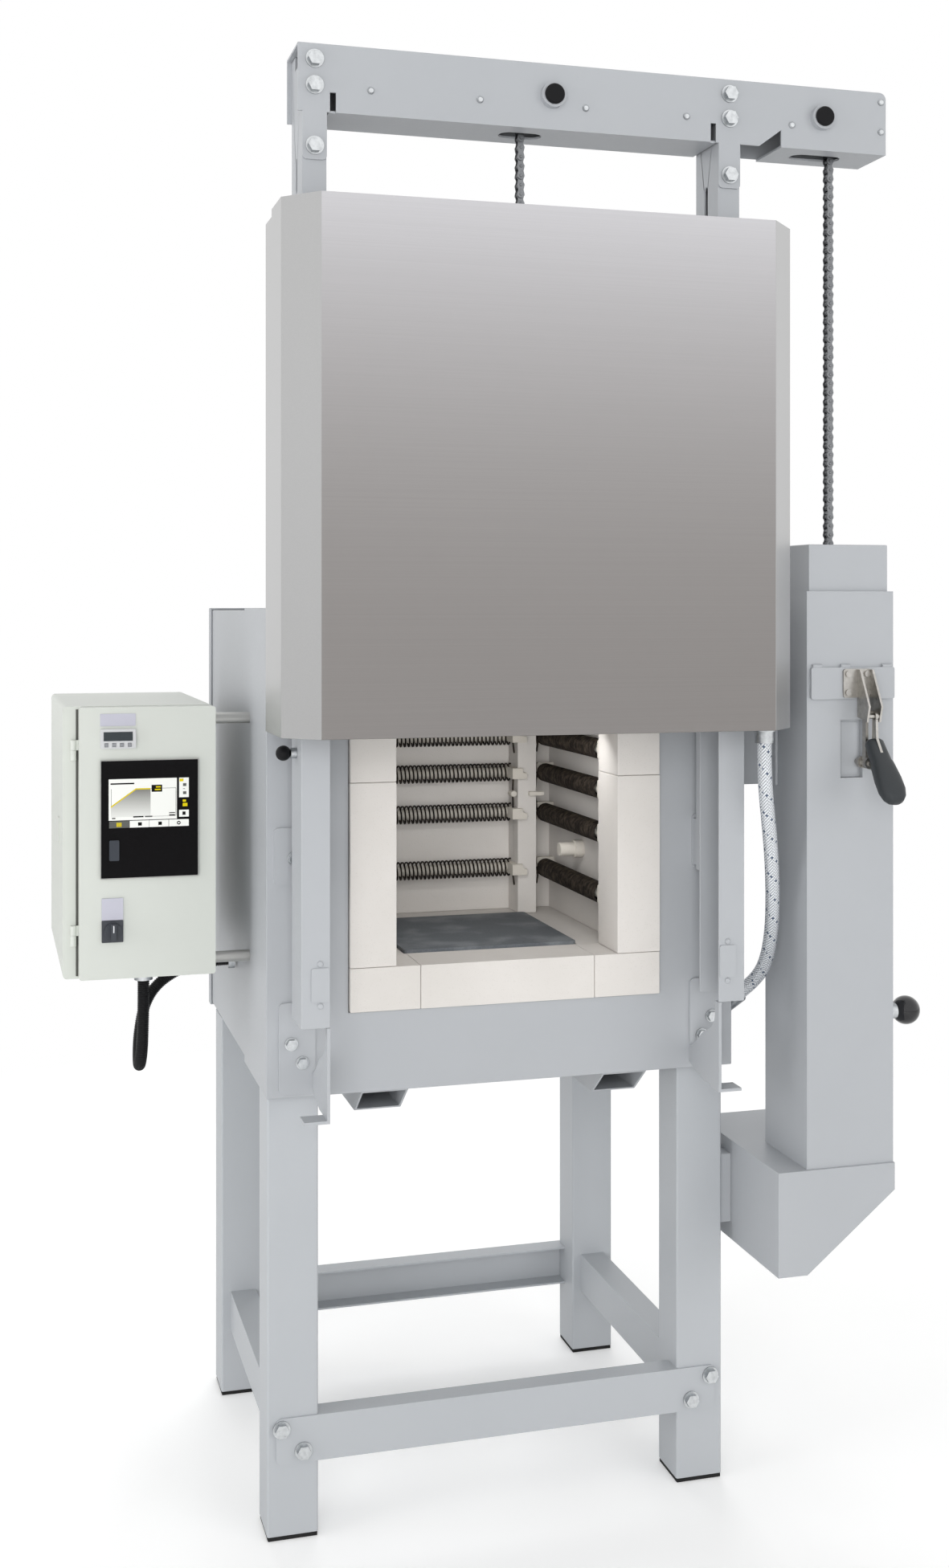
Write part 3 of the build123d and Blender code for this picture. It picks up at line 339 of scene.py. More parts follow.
def silicon_carbide():
    """A pressed silicon carbide tile: dark slate, with grains of 1.6 mm and pale dust."""
    material, tree, shader, place = surface("silicon_carbide_tile", 0.66)
    grit = cells(tree, place, 1 / 0.0016)
    dusty = ramp(tree, noise(tree, place, 14.0, 6.0), 0.48, 0.75)
    two_tone(tree, shader, maths(tree, "MULTIPLY_ADD", grit, 0.5, dusty), "#565b61", "#82878b")
    relief(tree, shader, grit, 0.3, 0.0003)
    return material


def moulded_plastic(name, dark, light, roughness, grain=0.0008, coat=0.0, shine=0.4):
    """Injection moulded plastic with a fine grain from the mould."""
    material, tree, shader, place = surface(name, roughness, Coat_Weight=coat, Coat_Roughness=0.05,
                                            Specular_IOR_Level=shine)
    skin = noise(tree, place, 1 / grain)
    two_tone(tree, shader, skin, dark, light)
    relief(tree, shader, skin, 0.12, 0.0002)
    return material


def front_laminate():
    """The cabinet's small plates: pale blank laminate above, and the switch's dark plate below."""
    material, tree, shader, place = surface("label_laminate", 0.42)
    label = maths(tree, "GREATER_THAN", axis_of(tree, place, "Z"), switch_plate_top)
    two_tone(tree, shader, label, "#3a3d43", "#bdbdc9")
    relief(tree, shader, noise(tree, place, 1 / 0.0012), 0.1, 0.0001)
    return material


def every_so_often(tree, lane, count):
    """One lane out of a count, as 1 among zeros."""
    return maths(tree, "LESS_THAN", maths(tree, "FLOORED_MODULO", lane, count), 0.5)


def wire_braid():
    """Stainless wire braid over a hose: bands of wires cross at 45 degrees, with dark tracers, and painted
    shade darkens each wire towards the gaps between the wires.
    """
    material, tree, shader = surface("stainless_wire_braid", 0.38, 0.45)[:3]
    route = add(tree, "UVMap", uv_map="route").outputs[0]
    around = maths(tree, "MULTIPLY", axis_of(tree, route, "X"), braid_bands)
    along = maths(tree, "MULTIPLY", axis_of(tree, route, "Y"), 1 / braid_lay)
    waves, lanes = [], []
    for operation in ("ADD", "SUBTRACT"):
        lane = maths(tree, operation, around, along)
        across = maths(tree, "MULTIPLY", maths(tree, "FRACT", lane), math.pi)
        waves.append(maths(tree, "SINE", across))
        lanes.append(maths(tree, "FLOOR", lane))
    over = maths(tree, "PINGPONG", maths(tree, "ADD", lanes[0], lanes[1]), 2.0)
    over = maths(tree, "GREATER_THAN", over, 0.5)
    weave = add(tree, "Mix", {0: over, 2: waves[0], 3: waves[1]}).outputs[0]
    tracer = every_so_often(tree, lanes[0], 7.0)
    mark = maths(tree, "MULTIPLY", tracer, every_so_often(tree, lanes[1], 3.0))
    # Painted shade: each wire is darker towards its edges, where the gaps between the wires lie in shadow
    steel_with_painted_gap_shade = mixed(tree, weave, "#8f949b", "#f6f9fd")
    two_tone(tree, shader, mark, steel_with_painted_gap_shade, "#5c6a80")
    relief(tree, shader, weave, 0.8, 0.0008)
    return material


def lit_screen(name, colour, strength, foot=None):
    """A part of the backlit display, in one colour or shaded from it to another colour at its foot."""
    material, tree, shader, place = surface(name, 0.2, Specular_IOR_Level=0.15)
    for socket in ("Base Color", "Emission Color"):
        if foot:
            height = ramp(tree, axis_of(tree, place, "Z"), ramp_foot, ramp_top)
            tree.links.new(mixed(tree, height, foot, colour), shader.inputs[socket])
        else:
            shader.inputs[socket].default_value = linear(colour)
    shader.inputs["Emission Strength"].default_value = strength
    return material


coat = powder_coat("powder_coated_steel", "#a9acb0", "#b2b5b9")
stand_coat = powder_coat("powder_coated_stand", "#adb1b5", "#b7babe")
enamel = powder_coat("powder_coated_cabinet", "#c9cdc7", "#d1d4ce")
door_steel = door_sheet()
tube_steel = brushed_stainless("ground_stainless_tube", "#a5a5a3", "#cfcfcc")
zinc = plated_steel("zinc_plated_steel", "#85898d", "#eaedef", 0.3)
nickel = plated_steel("nickel_plated_clamp", "#9d9a95", "#d3d0cb", 0.3)
chain_steel = plated_steel("oiled_chain_steel", "#3f4043", "#97999c", 0.36)
laminate = front_laminate()
brick = insulating_brick("sawn_insulating_brick", "#c9c5bf", "#dfdbd7")
fibre = insulating_brick("ceramic_fibre_board", "#dcd8d2", "#efece7")
tube_ceramic = insulating_brick("fired_ceramic_tube", "#c2bcb1", "#dcd7ce")
wire = heating_wire()
tile = silicon_carbide()
black = moulded_plastic("moulded_black_nylon", "#0c0c0e", "#161618", 0.45, shine=0.2)
grip_vinyl = moulded_plastic("dipped_vinyl_grip", "#272a2c", "#393d40", 0.4)
ball_resin = moulded_plastic("polished_phenolic_ball", "#121214", "#1d1d20", 0.16, grain=0.004, coat=0.6)
glass_black = moulded_plastic("black_front_glass", "#0b0a0b", "#111012", 0.16, grain=0.004, shine=0.1)
light_grey = moulded_plastic("grey_abs_bezel", "#c3c4c6", "#cfd0d2", 0.4)
mid_grey = moulded_plastic("grey_rubber_key", "#85878b", "#94969a", 0.55)
slate = moulded_plastic("slate_abs_flap", "#2c3037", "#3a3f47", 0.4)
switch_grey = moulded_plastic("dark_grey_switch", "#34373c", "#42464c", 0.42)
# Painted shade: a dark strip that stands for the shadow in the seam beside the cabinet door's left edge
painted_seam_shade = moulded_plastic("painted_seam_shadow", "#4b4b48", "#5a5a56", 0.8)
display_dark = moulded_plastic("limiter_display", "#33383c", "#3c4246", 0.25, shine=0.2)
pointer_white = moulded_plastic("printed_pointer", "#d9dadc", "#e2e3e5", 0.5)
rubber = moulded_plastic("black_rubber_pad", "#161616", "#232323", 0.8)
wheel_nylon = moulded_plastic("cast_nylon_wheel", "#2a2b2d", "#38393b", 0.5)
braid = wire_braid()
screen_white = lit_screen("display_white", "#dfe0dc", 0.2)
screen_ramp = lit_screen("display_shaded_ramp", "#777773", 0.1, foot="#dcddd9")
screen_black = lit_screen("display_black", "#0c0c0c", 0.0)
screen_grey = lit_screen("display_grey", "#5c5d5a", 0.1)
screen_yellow = lit_screen("display_yellow", "#cbb90a", 0.2)


# Dressing of the parts that keep their shape

weld_reach = 0.02
bevelled_from = 38


def dress(material, width, *names):
    """Gives CAD parts their finish and breaks their sharp edges by a width in millimetres."""
    for name in names:
        part = nodes[name]
        part.data.materials.clear()
        part.data.materials.append(material)
        if width:
            weld = part.modifiers.new("weld", "WELD")
            weld.merge_threshold = weld_reach * MM
            edge = part.modifiers.new("edge", "BEVEL")
            edge.width = width * MM
            edge.segments = 2
            edge.limit_method = "ANGLE"
            edge.angle_limit = math.radians(bevelled_from)
            part.modifiers.new("normals", "WEIGHTED_NORMAL")


dress(stand_coat, 1.0, "stand_rails")
dress(stand_coat, 0.8, "stand_legs")
dress(rubber, 1.0, "foot_pads")
dress(coat, 1.2, "front_casing", "rear_casing", "column_tube", "column_cover", "console", "beam")
dress(coat, 0.8, "skid_tubes", "posts", "guide_rails", "guide_brackets", "door_frame")
dress(brick, 1.2, "collar_bricks", "chamber_bricks")
dress(fibre, 1.5, "door_insulation", "backup_insulation")
dress(tile, 0.8, "hearth_plate")
dress(zinc, 0.4, "hex_bolts", "beam_screws", "plunger_body", "cable_glands", "hose_fitting")
dress(nickel, 0.4, "clamp_base", "clamp_arm", "clamp_handle")
dress(black, 0.5, "axles", "plunger_knob")
dress(chain_steel, 0.3, "sprocket_left", "sprocket_right")
dress(wheel_nylon, 0.5, "wheel_lower_left", "wheel_lower_right", "wheel_upper_left", "wheel_upper_right")
dress(door_steel, 1.0, "door_casing")
dress(tube_steel, 0.0, "cabinet_supports")
dress(zinc, 0.0, "counterweight")
dress(ball_resin, 0.0, "weight_handle_ball")
dress(enamel, 1.0, "cabinet_housing", "cabinet_door")
dress(enamel, 0.3, "cabinet_hinges")
dress(glass_black, 0.6, "controller_panel")
dress(slate, 0.4, "usb_flap")
dress(light_grey, 0.5, "limiter")
dress(laminate, 0.4, "front_plates")
dress(switch_grey, 0.5, "switch_knob")
dress(mid_grey, 0.3, "limiter_key_1", "limiter_key_2", "limiter_key_3", "limiter_key_4")


# Shapes: a piece is built from millimetres, which MM turns into the frame's metres

def piece(name, verts, faces, material, body, uvs=None, sharp=40):
    """Makes a mesh piece that rides on a body, smooth up to an angle between its faces."""
    mesh = bpy.data.meshes.new(name)
    mesh.from_pydata(verts, [], faces)
    if uvs:
        layer = mesh.uv_layers.new(name="route")
        for loop, uv in zip(layer.data, uvs):
            loop.uv = uv
    mesh.materials.append(material)
    mesh.validate()
    mesh.shade_smooth()
    mesh.set_sharp_from_angle(angle=math.radians(sharp))
    made = bpy.data.objects.new(name, mesh)
    scene.collection.objects.link(made)
    if body:
        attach(made, body)
    return made


def tube(verts, faces, points, radii, sides, uvs=None):
    """Adds a closed tube along points in metres, with one radius for each of them."""
    first = len(verts)
    forward = (points[1] - points[0]).normalized()
    side = forward.orthogonal().normalized()
    run = 0.0
    runs = []
    for i, point in enumerate(points):
        ahead = points[min(i + 1, len(points) - 1)] - points[max(i - 1, 0)]
        turned = forward.rotation_difference(ahead.normalized())
        side = turned @ side
        forward = ahead.normalized()
        other = forward.cross(side)
        run += (point - points[i - 1]).length if i else 0.0
        runs.append(run)
        for k in range(sides):
            angle = 2 * math.pi * k / sides
            verts.append(point + radii[i] * (math.cos(angle) * side + math.sin(angle) * other))
    for i in range(len(points) - 1):
        for k in range(sides):
            a, b = first + i * sides, first + (i + 1) * sides
            faces.append((a + k, a + (k + 1) % sides, b + (k + 1) % sides, b + k))
            if uvs is not None:
                uvs += [(k / sides, runs[i]), ((k + 1) / sides, runs[i]),
                        ((k + 1) / sides, runs[i + 1]), (k / sides, runs[i + 1])]
    last = first + (len(points) - 1) * sides
    faces.append(tuple(range(first + sides - 1, first - 1, -1)))
    faces.append(tuple(range(last, last + sides)))
    if uvs is not None:
        uvs += [(0, 0)] * (2 * sides)


def turned_bar(verts, faces, a, b, radius, chamfer, sides):
    """Adds a round bar from a to b, in millimetres, with a chamfer round both ends."""
    rim = chamfer * (b - a).normalized()
    radii = (radius - chamfer, radius, radius, radius - chamfer)
    tube(verts, faces, [p * MM for p in (a, a + rim, b - rim, b)], [r * MM for r in radii], sides)


def plate(verts, faces, outline, depth, place):
    """Adds a flat plate over an outline; place turns (u, v, depth) into a point."""
    first, count = len(verts), len(outline)
    for level in (0, depth):
        verts += [place(u, v, level) for u, v in outline]
    faces.append(tuple(range(first + count - 1, first - 1, -1)))
    faces.append(tuple(range(first + count, first + 2 * count)))
    for k in range(count):
        n = (k + 1) % count
        faces.append((first + k, first + n, first + count + n, first + count + k))


def upright(x, y, z, across=1, rise=1):
    """Stands a plate up at a point: u goes right or, across -1, left; v goes up or, rise -1, down."""
    return lambda u, v, w: Vector((x + across * u, y + w, z + rise * v)) * MM


def side_plate(verts, faces, outline, depth, side, y, z):
    """Adds an upright plate to the right, side 1, or its mirror image to the left, side -1."""
    plate(verts, faces, outline[::side], depth, upright(0, y, z, across=side))


def box_outline(left, right, low, high):
    """The outline of a rectangle."""
    return [(left, low), (right, low), (right, high), (left, high)]


# Cords: their routes are the points that the photograph shows, in millimetres

hose_route = [(322, -432, 1080), (322, -432, 1035), (332, -420, 985), (346, -402, 930), (357, -384, 870),
              (366, -362, 808), (370, -335, 760), (366, -306, 728), (352, -282, 706)]
conduit_route = [(-483, -110, 739), (-483, -110, 696), (-485, -112, 642), (-486, -92, 615), (-485, -60, 605),
                 (-483, -28, 615), (-480, -8, 642), (-473, 0, 676), (-455, 8, 705), (-420, 14, 726),
                 (-382, 16, 735), (-347, 16, 735)]
hose_radius, hose_step = 9.8, 2
conduit_ribs = (8.5, 8.5, 7.5, 7.5)
conduit_step = 0.75


def route_line(points):
    """The smooth line of a route whose points are given in millimetres."""
    curve = bpy.data.curves.new("route", "CURVE")
    curve.dimensions = "3D"
    curve.resolution_u = 24
    spline = curve.splines.new("NURBS")
    spline.points.add(len(points) - 1)
    for spot, point in zip(spline.points, points):
        spot.co = (*(c * MM for c in point), 1)
    spline.order_u = 3
    spline.use_endpoint_u = True
    carrier = bpy.data.objects.new("route", curve)
    scene.collection.objects.link(carrier)
    bpy.context.view_layer.update()
    mesh = bpy.data.meshes.new_from_object(carrier)
    line = [v.co.copy() for v in mesh.vertices]
    bpy.data.objects.remove(carrier)
    return line


def even_points(line, step):
    """Points an even step apart along a line."""
    out, left = [line[0].copy()], step
    for a, b in zip(line, line[1:]):
        length = (b - a).length
        done = 0.0
        while length - done >= left:
            done += left
            out.append(a.lerp(b, done / length))
            left = step
        left -= length - done
    return out + [line[-1].copy()]


def braided_hose():
    """The braided cable hose between the door and the body."""
    line = even_points(route_line(hose_route), hose_step * MM)
    verts, faces, uvs = [], [], []
    tube(verts, faces, line, [hose_radius * MM] * len(line), 28, uvs)
    made = piece("door_hose_braid", verts, faces, braid, None, uvs)
    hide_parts("door_hose")
    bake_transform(made)
    tuple(line[0])


def ribbed_conduit():
    """The corrugated conduit from the cabinet to the body, with a rib every 3 mm."""
    line = even_points(route_line(conduit_route), conduit_step * MM)
    radii = [conduit_ribs[i % len(conduit_ribs)] * MM for i in range(len(line))]
    verts, faces = [], []
    tube(verts, faces, line, radii, 20)
    made = piece("cabinet_conduit_ribs", verts, faces, black, "furnace", sharp=70)
    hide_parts("cabinet_conduit")
    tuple(line[0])


braided_hose()
ribbed_conduit()


# Heating coils; a coil's three sizes are its radius, its pitch and the wire's radius

coil_rows = (846, 935, 999, 1057)
rows_middle = (coil_rows[1] + coil_rows[2]) / 2
back_y, side_x = 85, 170
back_coil, side_coil, floor_coil = (13.6, 6.6, 1.35), (13.4, 3.3, 1.5), (7.6, 6.0, 1.3)
back_coil_end, side_coil_front, side_coil_back = 118, -205, 64
floor_coil_end, floor_coil_z = 119, 760
floor_front, floor_back, floor_coils = -210, 44, 5
door_coil_end, door_coil_y, door_coil_middle, door_coil_gap, door_coil_rows = 142, -322, 1438.5, 62, 4
lead_radius = 1.4
carrier_radius, carrier_end, carrier_front, carrier_back = 8, 152, -214, 89
holder_depth = 8
chamber_half = 190
thermocouple_y, thermocouple_z = -60, 892


def winding(verts, faces, start, end, radius, pitch, wire_radius):
    """Adds a wound wire around the line from start to end, in millimetres."""
    a, b = Vector(start) * MM, Vector(end) * MM
    axis = (b - a).normalized()
    out = Vector((0, 0, 1))
    across = axis.cross(out)
    turns = (b - a).length / (pitch * MM)
    count = int(turns * 16)
    points = []
    for i in range(count + 1):
        angle = 2 * math.pi * turns * i / count
        spoke = math.cos(angle) * across - math.sin(angle) * out
        points.append(a.lerp(b, i / count) + radius * MM * spoke)
    tube(verts, faces, points, [wire_radius * MM] * len(points), 7)


def coil_leads():
    """The wires that join the middle rows and end the outer ones, at both ends of the chamber's coils."""
    low, high = coil_rows[1], coil_rows[2]
    outer_rows = (coil_rows[0], coil_rows[3])
    leads = []
    for side in (-1, 1):
        x = side * 116
        leads.append([(x, 72, high), (x, 63, high - 8), (x - side * 2, 58, rows_middle),
                      (x, 63, low + 8), (x, 72, low)])
        leads += [[(x, 72, z), (x + side, 66, z - 12), (x + side * 2, 64, z - 26)] for z in outer_rows]
        x = side * 157
        leads.append([(x, 62, high), (x - side * 4, 58, high - 12), (x - side * 6, 57, rows_middle),
                      (x - side * 3, 58, low + 10), (x, 62, low)])
        leads += [[(x, 62, z), (x - side, 59, z - 12), (x - side * 3, 58, z - 24)] for z in outer_rows]
    return leads


def coil_holders():
    """Ceramic steps that hold the rods' ends at the corner posts, and the bushes of the leads."""
    verts, faces = [], []
    step = [(110, -8), (134, -8), (134, 1), (127, 2.5), (127, 9), (110, 9)]
    neck = box_outline(111, 120.8, -8, 9)
    bar = box_outline(138, 162, -3, 3)
    for side in (-1, 1):
        for z in coil_rows:
            side_plate(verts, faces, step, 7.5, side, 45, z)
            side_plate(verts, faces, neck, 44, side, 52.5, z)
        ends = [Vector((side * 114, y, rows_middle)) * MM for y in (50, 51, 68, 69)]
        tube(verts, faces, ends, [0.004, 0.005, 0.005, 0.004], 16)
        side_plate(verts, faces, bar, 7, side, 45, rows_middle)
    piece("coil_holders", verts, faces, tube_ceramic, "furnace")


def carrier_tubes():
    """The ceramic tubes that carry the windings, their wall holders and the short thermocouple."""
    verts, faces = [], []
    holder = [(162, -12), (164, -14), (190, -14), (190, 14), (164, 14), (162, 12)]

    def rod(start, end, radius):
        turned_bar(verts, faces, Vector(start), Vector(end), radius, 0.8, 22)

    for z in coil_rows:
        rod((-carrier_end, back_y, z), (carrier_end, back_y, z), carrier_radius)
        for side in (-1, 1):
            rod((side * side_x, carrier_front, z), (side * side_x, carrier_back, z), carrier_radius)
            for y in (carrier_front, carrier_back - holder_depth):
                side_plate(verts, faces, holder, holder_depth, side, y, z)
    for inner_end, radius in ((152, 10.5), (175, 13.5)):
        start, end = [(x, thermocouple_y, thermocouple_z) for x in (inner_end, chamber_half)]
        rod(start, end, radius)
    made = piece("carrier_tubes", verts, faces, tube_ceramic, "furnace")
    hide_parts("ceramic_tubes")


def chamber_windings():
    """The windings on the back and side walls and under the floor plate."""
    verts, faces = [], []
    for z in coil_rows:
        winding(verts, faces, (-back_coil_end, back_y, z), (back_coil_end, back_y, z), *back_coil)
        for side in (-1, 1):
            x = side * side_x
            winding(verts, faces, (x, side_coil_front, z), (x, side_coil_back, z), *side_coil)
    for i in range(floor_coils):
        y = floor_front + (floor_back - floor_front) / floor_coils * (i + 0.5)
        start, end = [(x, y, floor_coil_z) for x in (-floor_coil_end, floor_coil_end)]
        winding(verts, faces, start, end, *floor_coil)
    for points in coil_leads():
        tube(verts, faces, [Vector(p) * MM for p in points], [lead_radius * MM] * len(points), 8)
    made = piece("chamber_windings", verts, faces, wire, "furnace", sharp=60)
    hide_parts("chamber_coils")


def door_windings():
    """The windings in the recess of the door's insulation."""
    verts, faces = [], []
    for i in range(door_coil_rows):
        z = door_coil_middle + (i - (door_coil_rows - 1) / 2) * door_coil_gap
        start, end = [(x, door_coil_y, z) for x in (-door_coil_end, door_coil_end)]
        winding(verts, faces, start, end, *back_coil)
    made = piece("door_windings", verts, faces, wire, "door", sharp=60)
    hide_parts("door_coils")


carrier_tubes()
chamber_windings()
coil_holders()
door_windings()


# Chain; it hangs at x 0 over the door and at chain_right over the counterweight

pitch, sprocket_radius, axle_z = 12.7, 32.549, 1950
chain_right, chain_y = 462, -345
axle_left, axle_right = sprocket_radius, chain_right - sprocket_radius
chain_low, chain_end = 1215, 862
chain_sinks, chain_sink_run, chain_sink = 1674, 160, 9.5
link_round, link_waist = 5.1, 3.6
inner_link, outer_link = (3.9, 5.3), (5.5, 6.9)
roller, pin = (4.25, 3.8), (2.1, 7.6)


def on_sprocket(axle, angle):
    """The place of a chain link on a sprocket, at an angle from the horizontal."""
    return Vector((axle, chain_y, axle_z)) + sprocket_radius * Vector((math.cos(angle), 0, math.sin(angle)))


def chain_point(run):
    """The place on the chain's middle line, in millimetres, a run after its lower end in the door."""
    up = axle_z - chain_low
    arc = sprocket_radius * math.pi / 2
    level = axle_right - axle_left
    if run < up:
        z = chain_low + run
        inside = min(max((chain_sinks - z) / chain_sink_run, 0), 1)
        return Vector((0, chain_y - chain_sink * inside * inside * (3 - 2 * inside), z))
    run -= up
    if run < arc:
        return on_sprocket(axle_left, math.pi - run / sprocket_radius)
    run -= arc
    if run < level:
        return Vector((axle_left + run, chain_y, axle_z + sprocket_radius))
    run -= level
    if run < arc:
        return on_sprocket(axle_right, math.pi / 2 - run / sprocket_radius)
    return Vector((chain_right, chain_y, axle_z - (run - arc)))


def link_outline():
    """The outline of a link's plate: two round ends and a waist between them."""
    outline = []
    for centre, turn, waist in ((0, 90, -link_waist), (pitch, -90, link_waist)):
        for k in range(9):
            angle = math.radians(turn + k * 180 / 8)
            outline.append((centre + link_round * math.cos(angle), link_round * math.sin(angle)))
        outline.append((pitch / 2, waist))
    return outline


def roller_chain():
    """A roller chain link by link: inner and outer plates, rollers and riveted pins."""
    outline = link_outline()
    total = axle_z - chain_low + math.pi * sprocket_radius + axle_right - axle_left + axle_z - chain_end
    verts, faces = [], []
    for i in range(int(total / pitch)):
        start = chain_point(i * pitch)
        along = (chain_point((i + 1) * pitch) - start).normalized()
        up = Vector((-along.z, 0, along.x)).normalized()
        inner, outer = inner_link if i % 2 else outer_link
        for side in (-1, 1):
            def place(u, v, w, side=side, inner=inner):
                return (start + u * along + v * up + Vector((0, side * (inner + w), 0))) * MM
            plate(verts, faces, outline, outer - inner, place)
        for radius, half in (roller, pin):
            across = Vector((0, half, 0))
            turned_bar(verts, faces, start - across, start + across, radius, 0.4, 12)
    made = piece("roller_chain", verts, faces, chain_steel, "furnace", sharp=35)
    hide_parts("chain_top", "chain_door_run", "chain_weight_run")


roller_chain()


# Clamp and column; a ring of the grip gives its run, its half width and its half depth

grip_start, grip_run = (482, -441.5, 1078), (0, -62, -76)
grip_rings = ((-1, 11, 8), (2, 13, 9.5), (18, 13.5, 10), (34, 14.5, 10.5), (38, 16, 11.5),
              (62, 18.5, 12.5), (80, 18.5, 12.5), (91, 15.5, 11), (97, 11, 8), (100, 5.5, 4))
grip_sides, grip_fullness = 28, 0.7
window_left, window_right, window_low, window_high = 447.4, 480.6, 1027.4, 1107.6
window_y, window_rim = -403.6, 3.6


def clamp_grip():
    """The clamp's dipped grip: a flat oval that swells to its end and is rounded there."""
    start, run, across = Vector(grip_start), Vector(grip_run).normalized(), Vector((1, 0, 0))
    other = run.cross(across)
    verts, faces = [], []
    for along, half, depth in grip_rings:
        for k in range(grip_sides):
            angle = 2 * math.pi * k / grip_sides
            u, v = [math.copysign(abs(c) ** grip_fullness, c) for c in (math.cos(angle), math.sin(angle))]
            verts.append((start + along * run + u * half * across + v * depth * other) * MM)
    for i in range(len(grip_rings) - 1):
        for k in range(grip_sides):
            a, b, n = i * grip_sides, (i + 1) * grip_sides, (k + 1) % grip_sides
            faces.append((a + k, b + k, b + n, a + n))
    faces.append(tuple(range(grip_sides)))
    faces.append(tuple(range(len(verts) - 1, len(verts) - 1 - grip_sides, -1)))
    made = piece("clamp_grip_dipped", verts, faces, grip_vinyl, "clamp_handle", sharp=60)
    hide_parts("clamp_grip")


def window_plate():
    """The pressed plate of the brake that closes the column's window from inside."""
    verts, faces = [], []
    outline = box_outline(window_left, window_right, window_low, window_high)
    plate(verts, faces, outline, 1.4, upright(0, window_y, 0))
    raised = box_outline(window_left + window_rim, window_right - window_rim,
                         window_low + window_rim, window_high - window_rim)
    plate(verts, faces, raised, 0.8, upright(0, window_y - 0.8, 0))
    piece("window_plate", verts, faces, coat, "furnace")


clamp_grip()
window_plate()


# Trim on the cabinet, with a dark strip of painted shade in its door's seam

# Place of the dark strip of painted shade in the seam at the cabinet door's left edge
seam_shadow_box = (-578.4, -575.4, 757, 1124)
limiter_window = (-542.6, -503.4, 1081.4, 1093.6)
pointer = (-530.7, -529.3, 821, 830.6)
rim_left, rim_right, rim_low, rim_high = -546.4, -413.6, 892.6, 1054.4
rim_y, rim_radius = -174.1, 0.7


def flat_trim(name, material, body, box, front, depth):
    """A thin rectangle that stands on a front."""
    verts, faces = [], []
    plate(verts, faces, box_outline(*box), depth, upright(0, front, 0))
    piece(name, verts, faces, material, body)


def controller_rim():
    """The bright rim round the controller's panel."""
    verts, faces = [], []
    corners = [Vector((x, rim_y, z)) * MM for x, z in box_outline(rim_left, rim_right, rim_low, rim_high)]
    for a, b in zip(corners, corners[1:] + corners[:1]):
        tube(verts, faces, [a, b], [rim_radius * MM] * 2, 8)
    piece("controller_rim", verts, faces, tube_steel, "cabinet_door")


# A dark strip of painted shade in the seam between the cabinet's housing and its door
flat_trim("painted_seam_shadow_strip", painted_seam_shade, "furnace", seam_shadow_box, -151.2, 1.4)
flat_trim("limiter_display", display_dark, "cabinet_door", limiter_window, -176.4, 0.3)
flat_trim("switch_pointer", pointer_white, "switch_knob", pointer, -190.5, 0.4)
controller_rim()


# Controller display, drawn from the screen's left top corner in millimetres

screen_left, screen_top, screen_front = -535.7, 1028.7, -173.8
layer_step, layer_depth = 0.12, 0.1
screen_width, screen_height, panel_width = 92.6, 56.6, 109.0
curve_start, curve_knee, curve_end = 2.9, 36.8, 56.6
curve_low, curve_top, curve_foot = 38.2, 14.2, 52.2
tabs_top, tabs_foot, tab_width = 57.6, 67.0, 26.2
side_tabs, tab_icons = 95.6, (39.6, 67.2)
cog_middle, cog_radius = (95.2, 62.3), 1.9


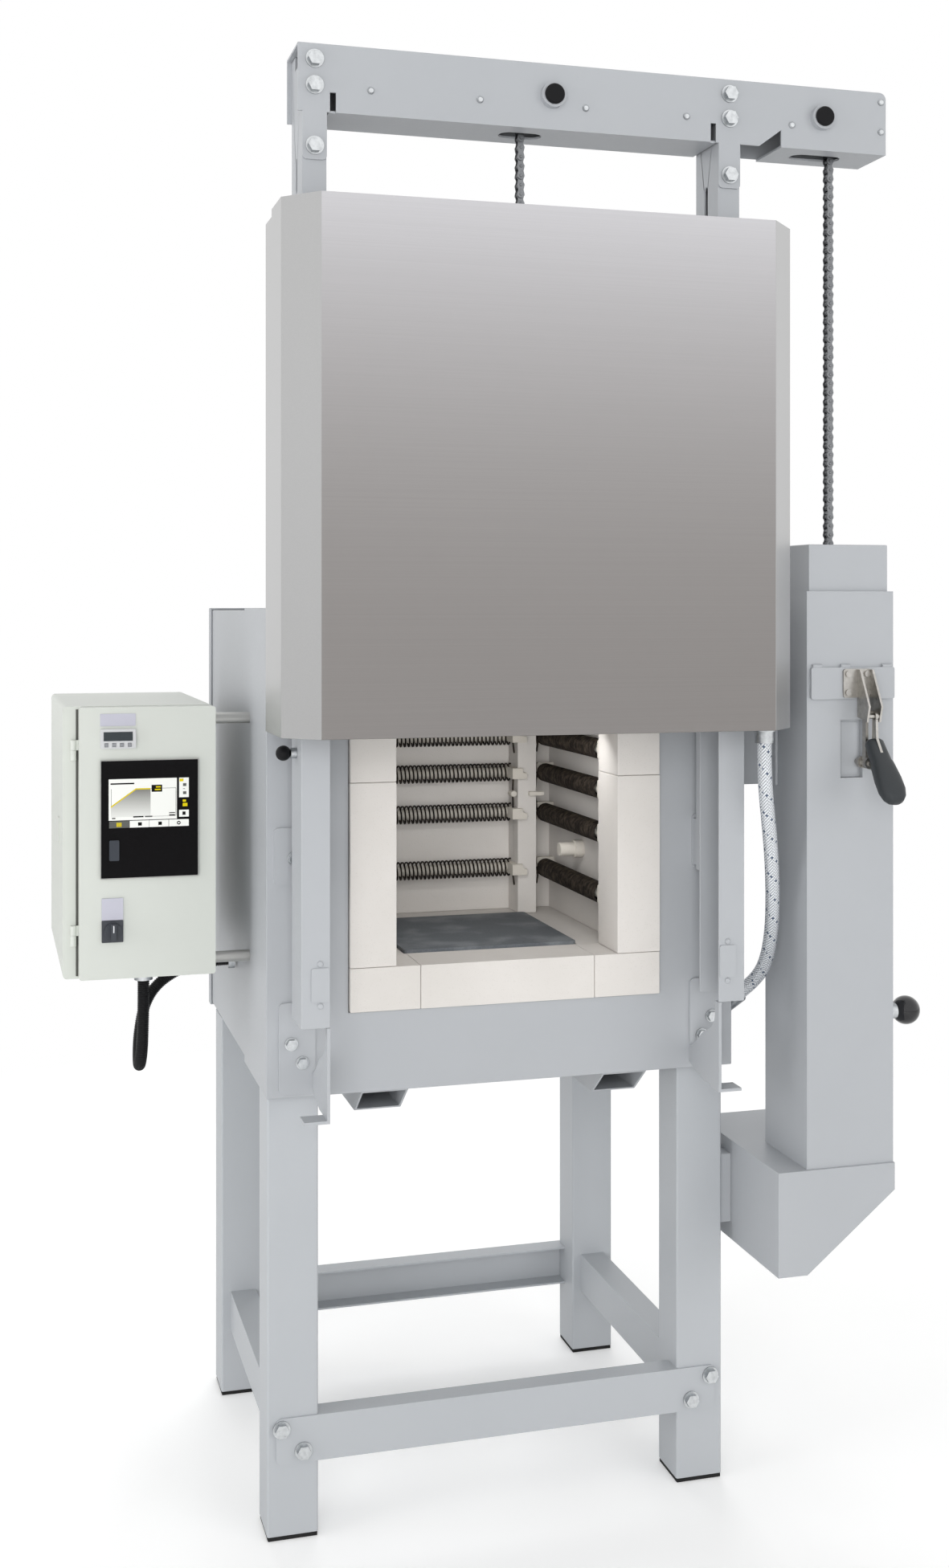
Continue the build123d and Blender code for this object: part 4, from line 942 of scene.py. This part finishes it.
def display():
    """A generic heat curve with its axes, tabs and icons on thin layers."""
    layers = {}

    def area(material, layer, *points):
        verts, faces = layers.setdefault(material, ([], []))
        front = screen_front - layer * layer_step - layer_depth
        plate(verts, faces, points, layer_depth, upright(screen_left, front, screen_top, rise=-1))

    def bar(material, layer, u0, v0, u1, v1):
        area(material, layer, *box_outline(u0, u1, v0, v1))

    # The field with the heat curve, its title, its axes and its two readings
    bar(screen_white, 1, 0.0, 0.0, screen_width, screen_height)
    bar(screen_black, 2, 2.5, 5.4, 34.5, 7.4)
    area(screen_ramp, 2, (curve_start, curve_low), (curve_knee, curve_top), (curve_end, curve_top),
         (curve_end, curve_foot), (curve_start, curve_foot))
    area(screen_yellow, 3, (curve_start - 0.2, curve_low - 1), (curve_knee - 0.2, curve_top - 1),
         (curve_end, curve_top - 1), (curve_end, curve_top + 0.7), (curve_knee + 0.2, curve_top + 0.7),
         (curve_start, curve_low + 1))
    bar(screen_grey, 2, 3.2, 13.4, 3.7, 37.5)
    bar(screen_grey, 2, 57.0, 13.6, 91.2, 14.1)
    bar(screen_grey, 2, 91.0, 13.6, 91.6, curve_foot)
    bar(screen_grey, 2, 56.9, curve_foot, 91.3, curve_foot + 0.3)
    bar(screen_black, 3, 58.0, 9.0, 72.4, 18.6)
    bar(screen_yellow, 4, 64.0, 11.0, 70.4, 12.8)
    bar(screen_yellow, 4, 62.4, 14.6, 70.4, 16.4)

    # The marks along the field's foot
    bar(screen_grey, 3, 4.4, 52.8, 9.0, 54.6)
    bar(screen_black, 3, 33.0, 51.4, 47.0, 53.2)
    bar(screen_grey, 3, 49.0, 51.4, 59.0, 53.2)
    bar(screen_grey, 3, 82.0, 47.4, 90.0, 48.8)
    bar(screen_black, 3, 82.0, 50.4, 90.0, 52.0)

    # The tabs under the field
    bar(screen_grey, 1, 0.6, tabs_top, 28.0, tabs_foot)
    for u in (10.6, 13.0, 15.4):
        bar(screen_yellow, 2, u, 59.6, u + 1.8, 65.4)
    for u, end in ((28.4, 28.4 + tab_width), (55.0, 55.0 + tab_width), (81.8, panel_width)):
        bar(screen_white, 1, u, tabs_top, end, tabs_foot)
    bar(screen_black, 2, tab_icons[0], 60.0, tab_icons[0] + 5.2, 64.6)
    bar(screen_black, 2, tab_icons[1], 60.0, tab_icons[1] + 4.8, 64.6)

    # The icons beside the field
    bar(screen_white, 1, side_tabs, 0.0, panel_width, 27.2)
    bar(screen_yellow, 2, 96.2, 1.4, 101.6, 5.2)
    for v in (7.8, 19.0):
        bar(screen_grey, 2, 101.0, v, 105.6, v + 4.0)
    bar(screen_grey, 2, 101.0, 15.0, 103.8, 15.8)
    bar(screen_yellow, 1, 100.6, 30.4, 105.2, 33.6)
    bar(screen_yellow, 1, 100.6, 35.2, 107.0, 39.8)
    bar(screen_white, 1, side_tabs, 44.6, panel_width, 54.2)
    bar(screen_black, 2, 100.2, 47.0, 104.6, 51.6)
    for material, (verts, faces) in layers.items():
        piece("panel_" + material.name, verts, faces, material, "cabinet_door")


def cog_icon():
    """The ring on the last tab, in the place of a settings sign."""
    place = upright(screen_left, screen_front - 0.15, screen_top, rise=-1)
    turns = [2 * math.pi * k / 24 for k in range(25)]
    ring = [place(cog_middle[0] + cog_radius * math.cos(t), cog_middle[1] - cog_radius * math.sin(t), 0)
            for t in turns]
    verts, faces = [], []
    tube(verts, faces, ring, [0.0007] * len(ring), 6)
    piece("panel_cog_icon", verts, faces, screen_black, "cabinet_door")


display()
cog_icon()
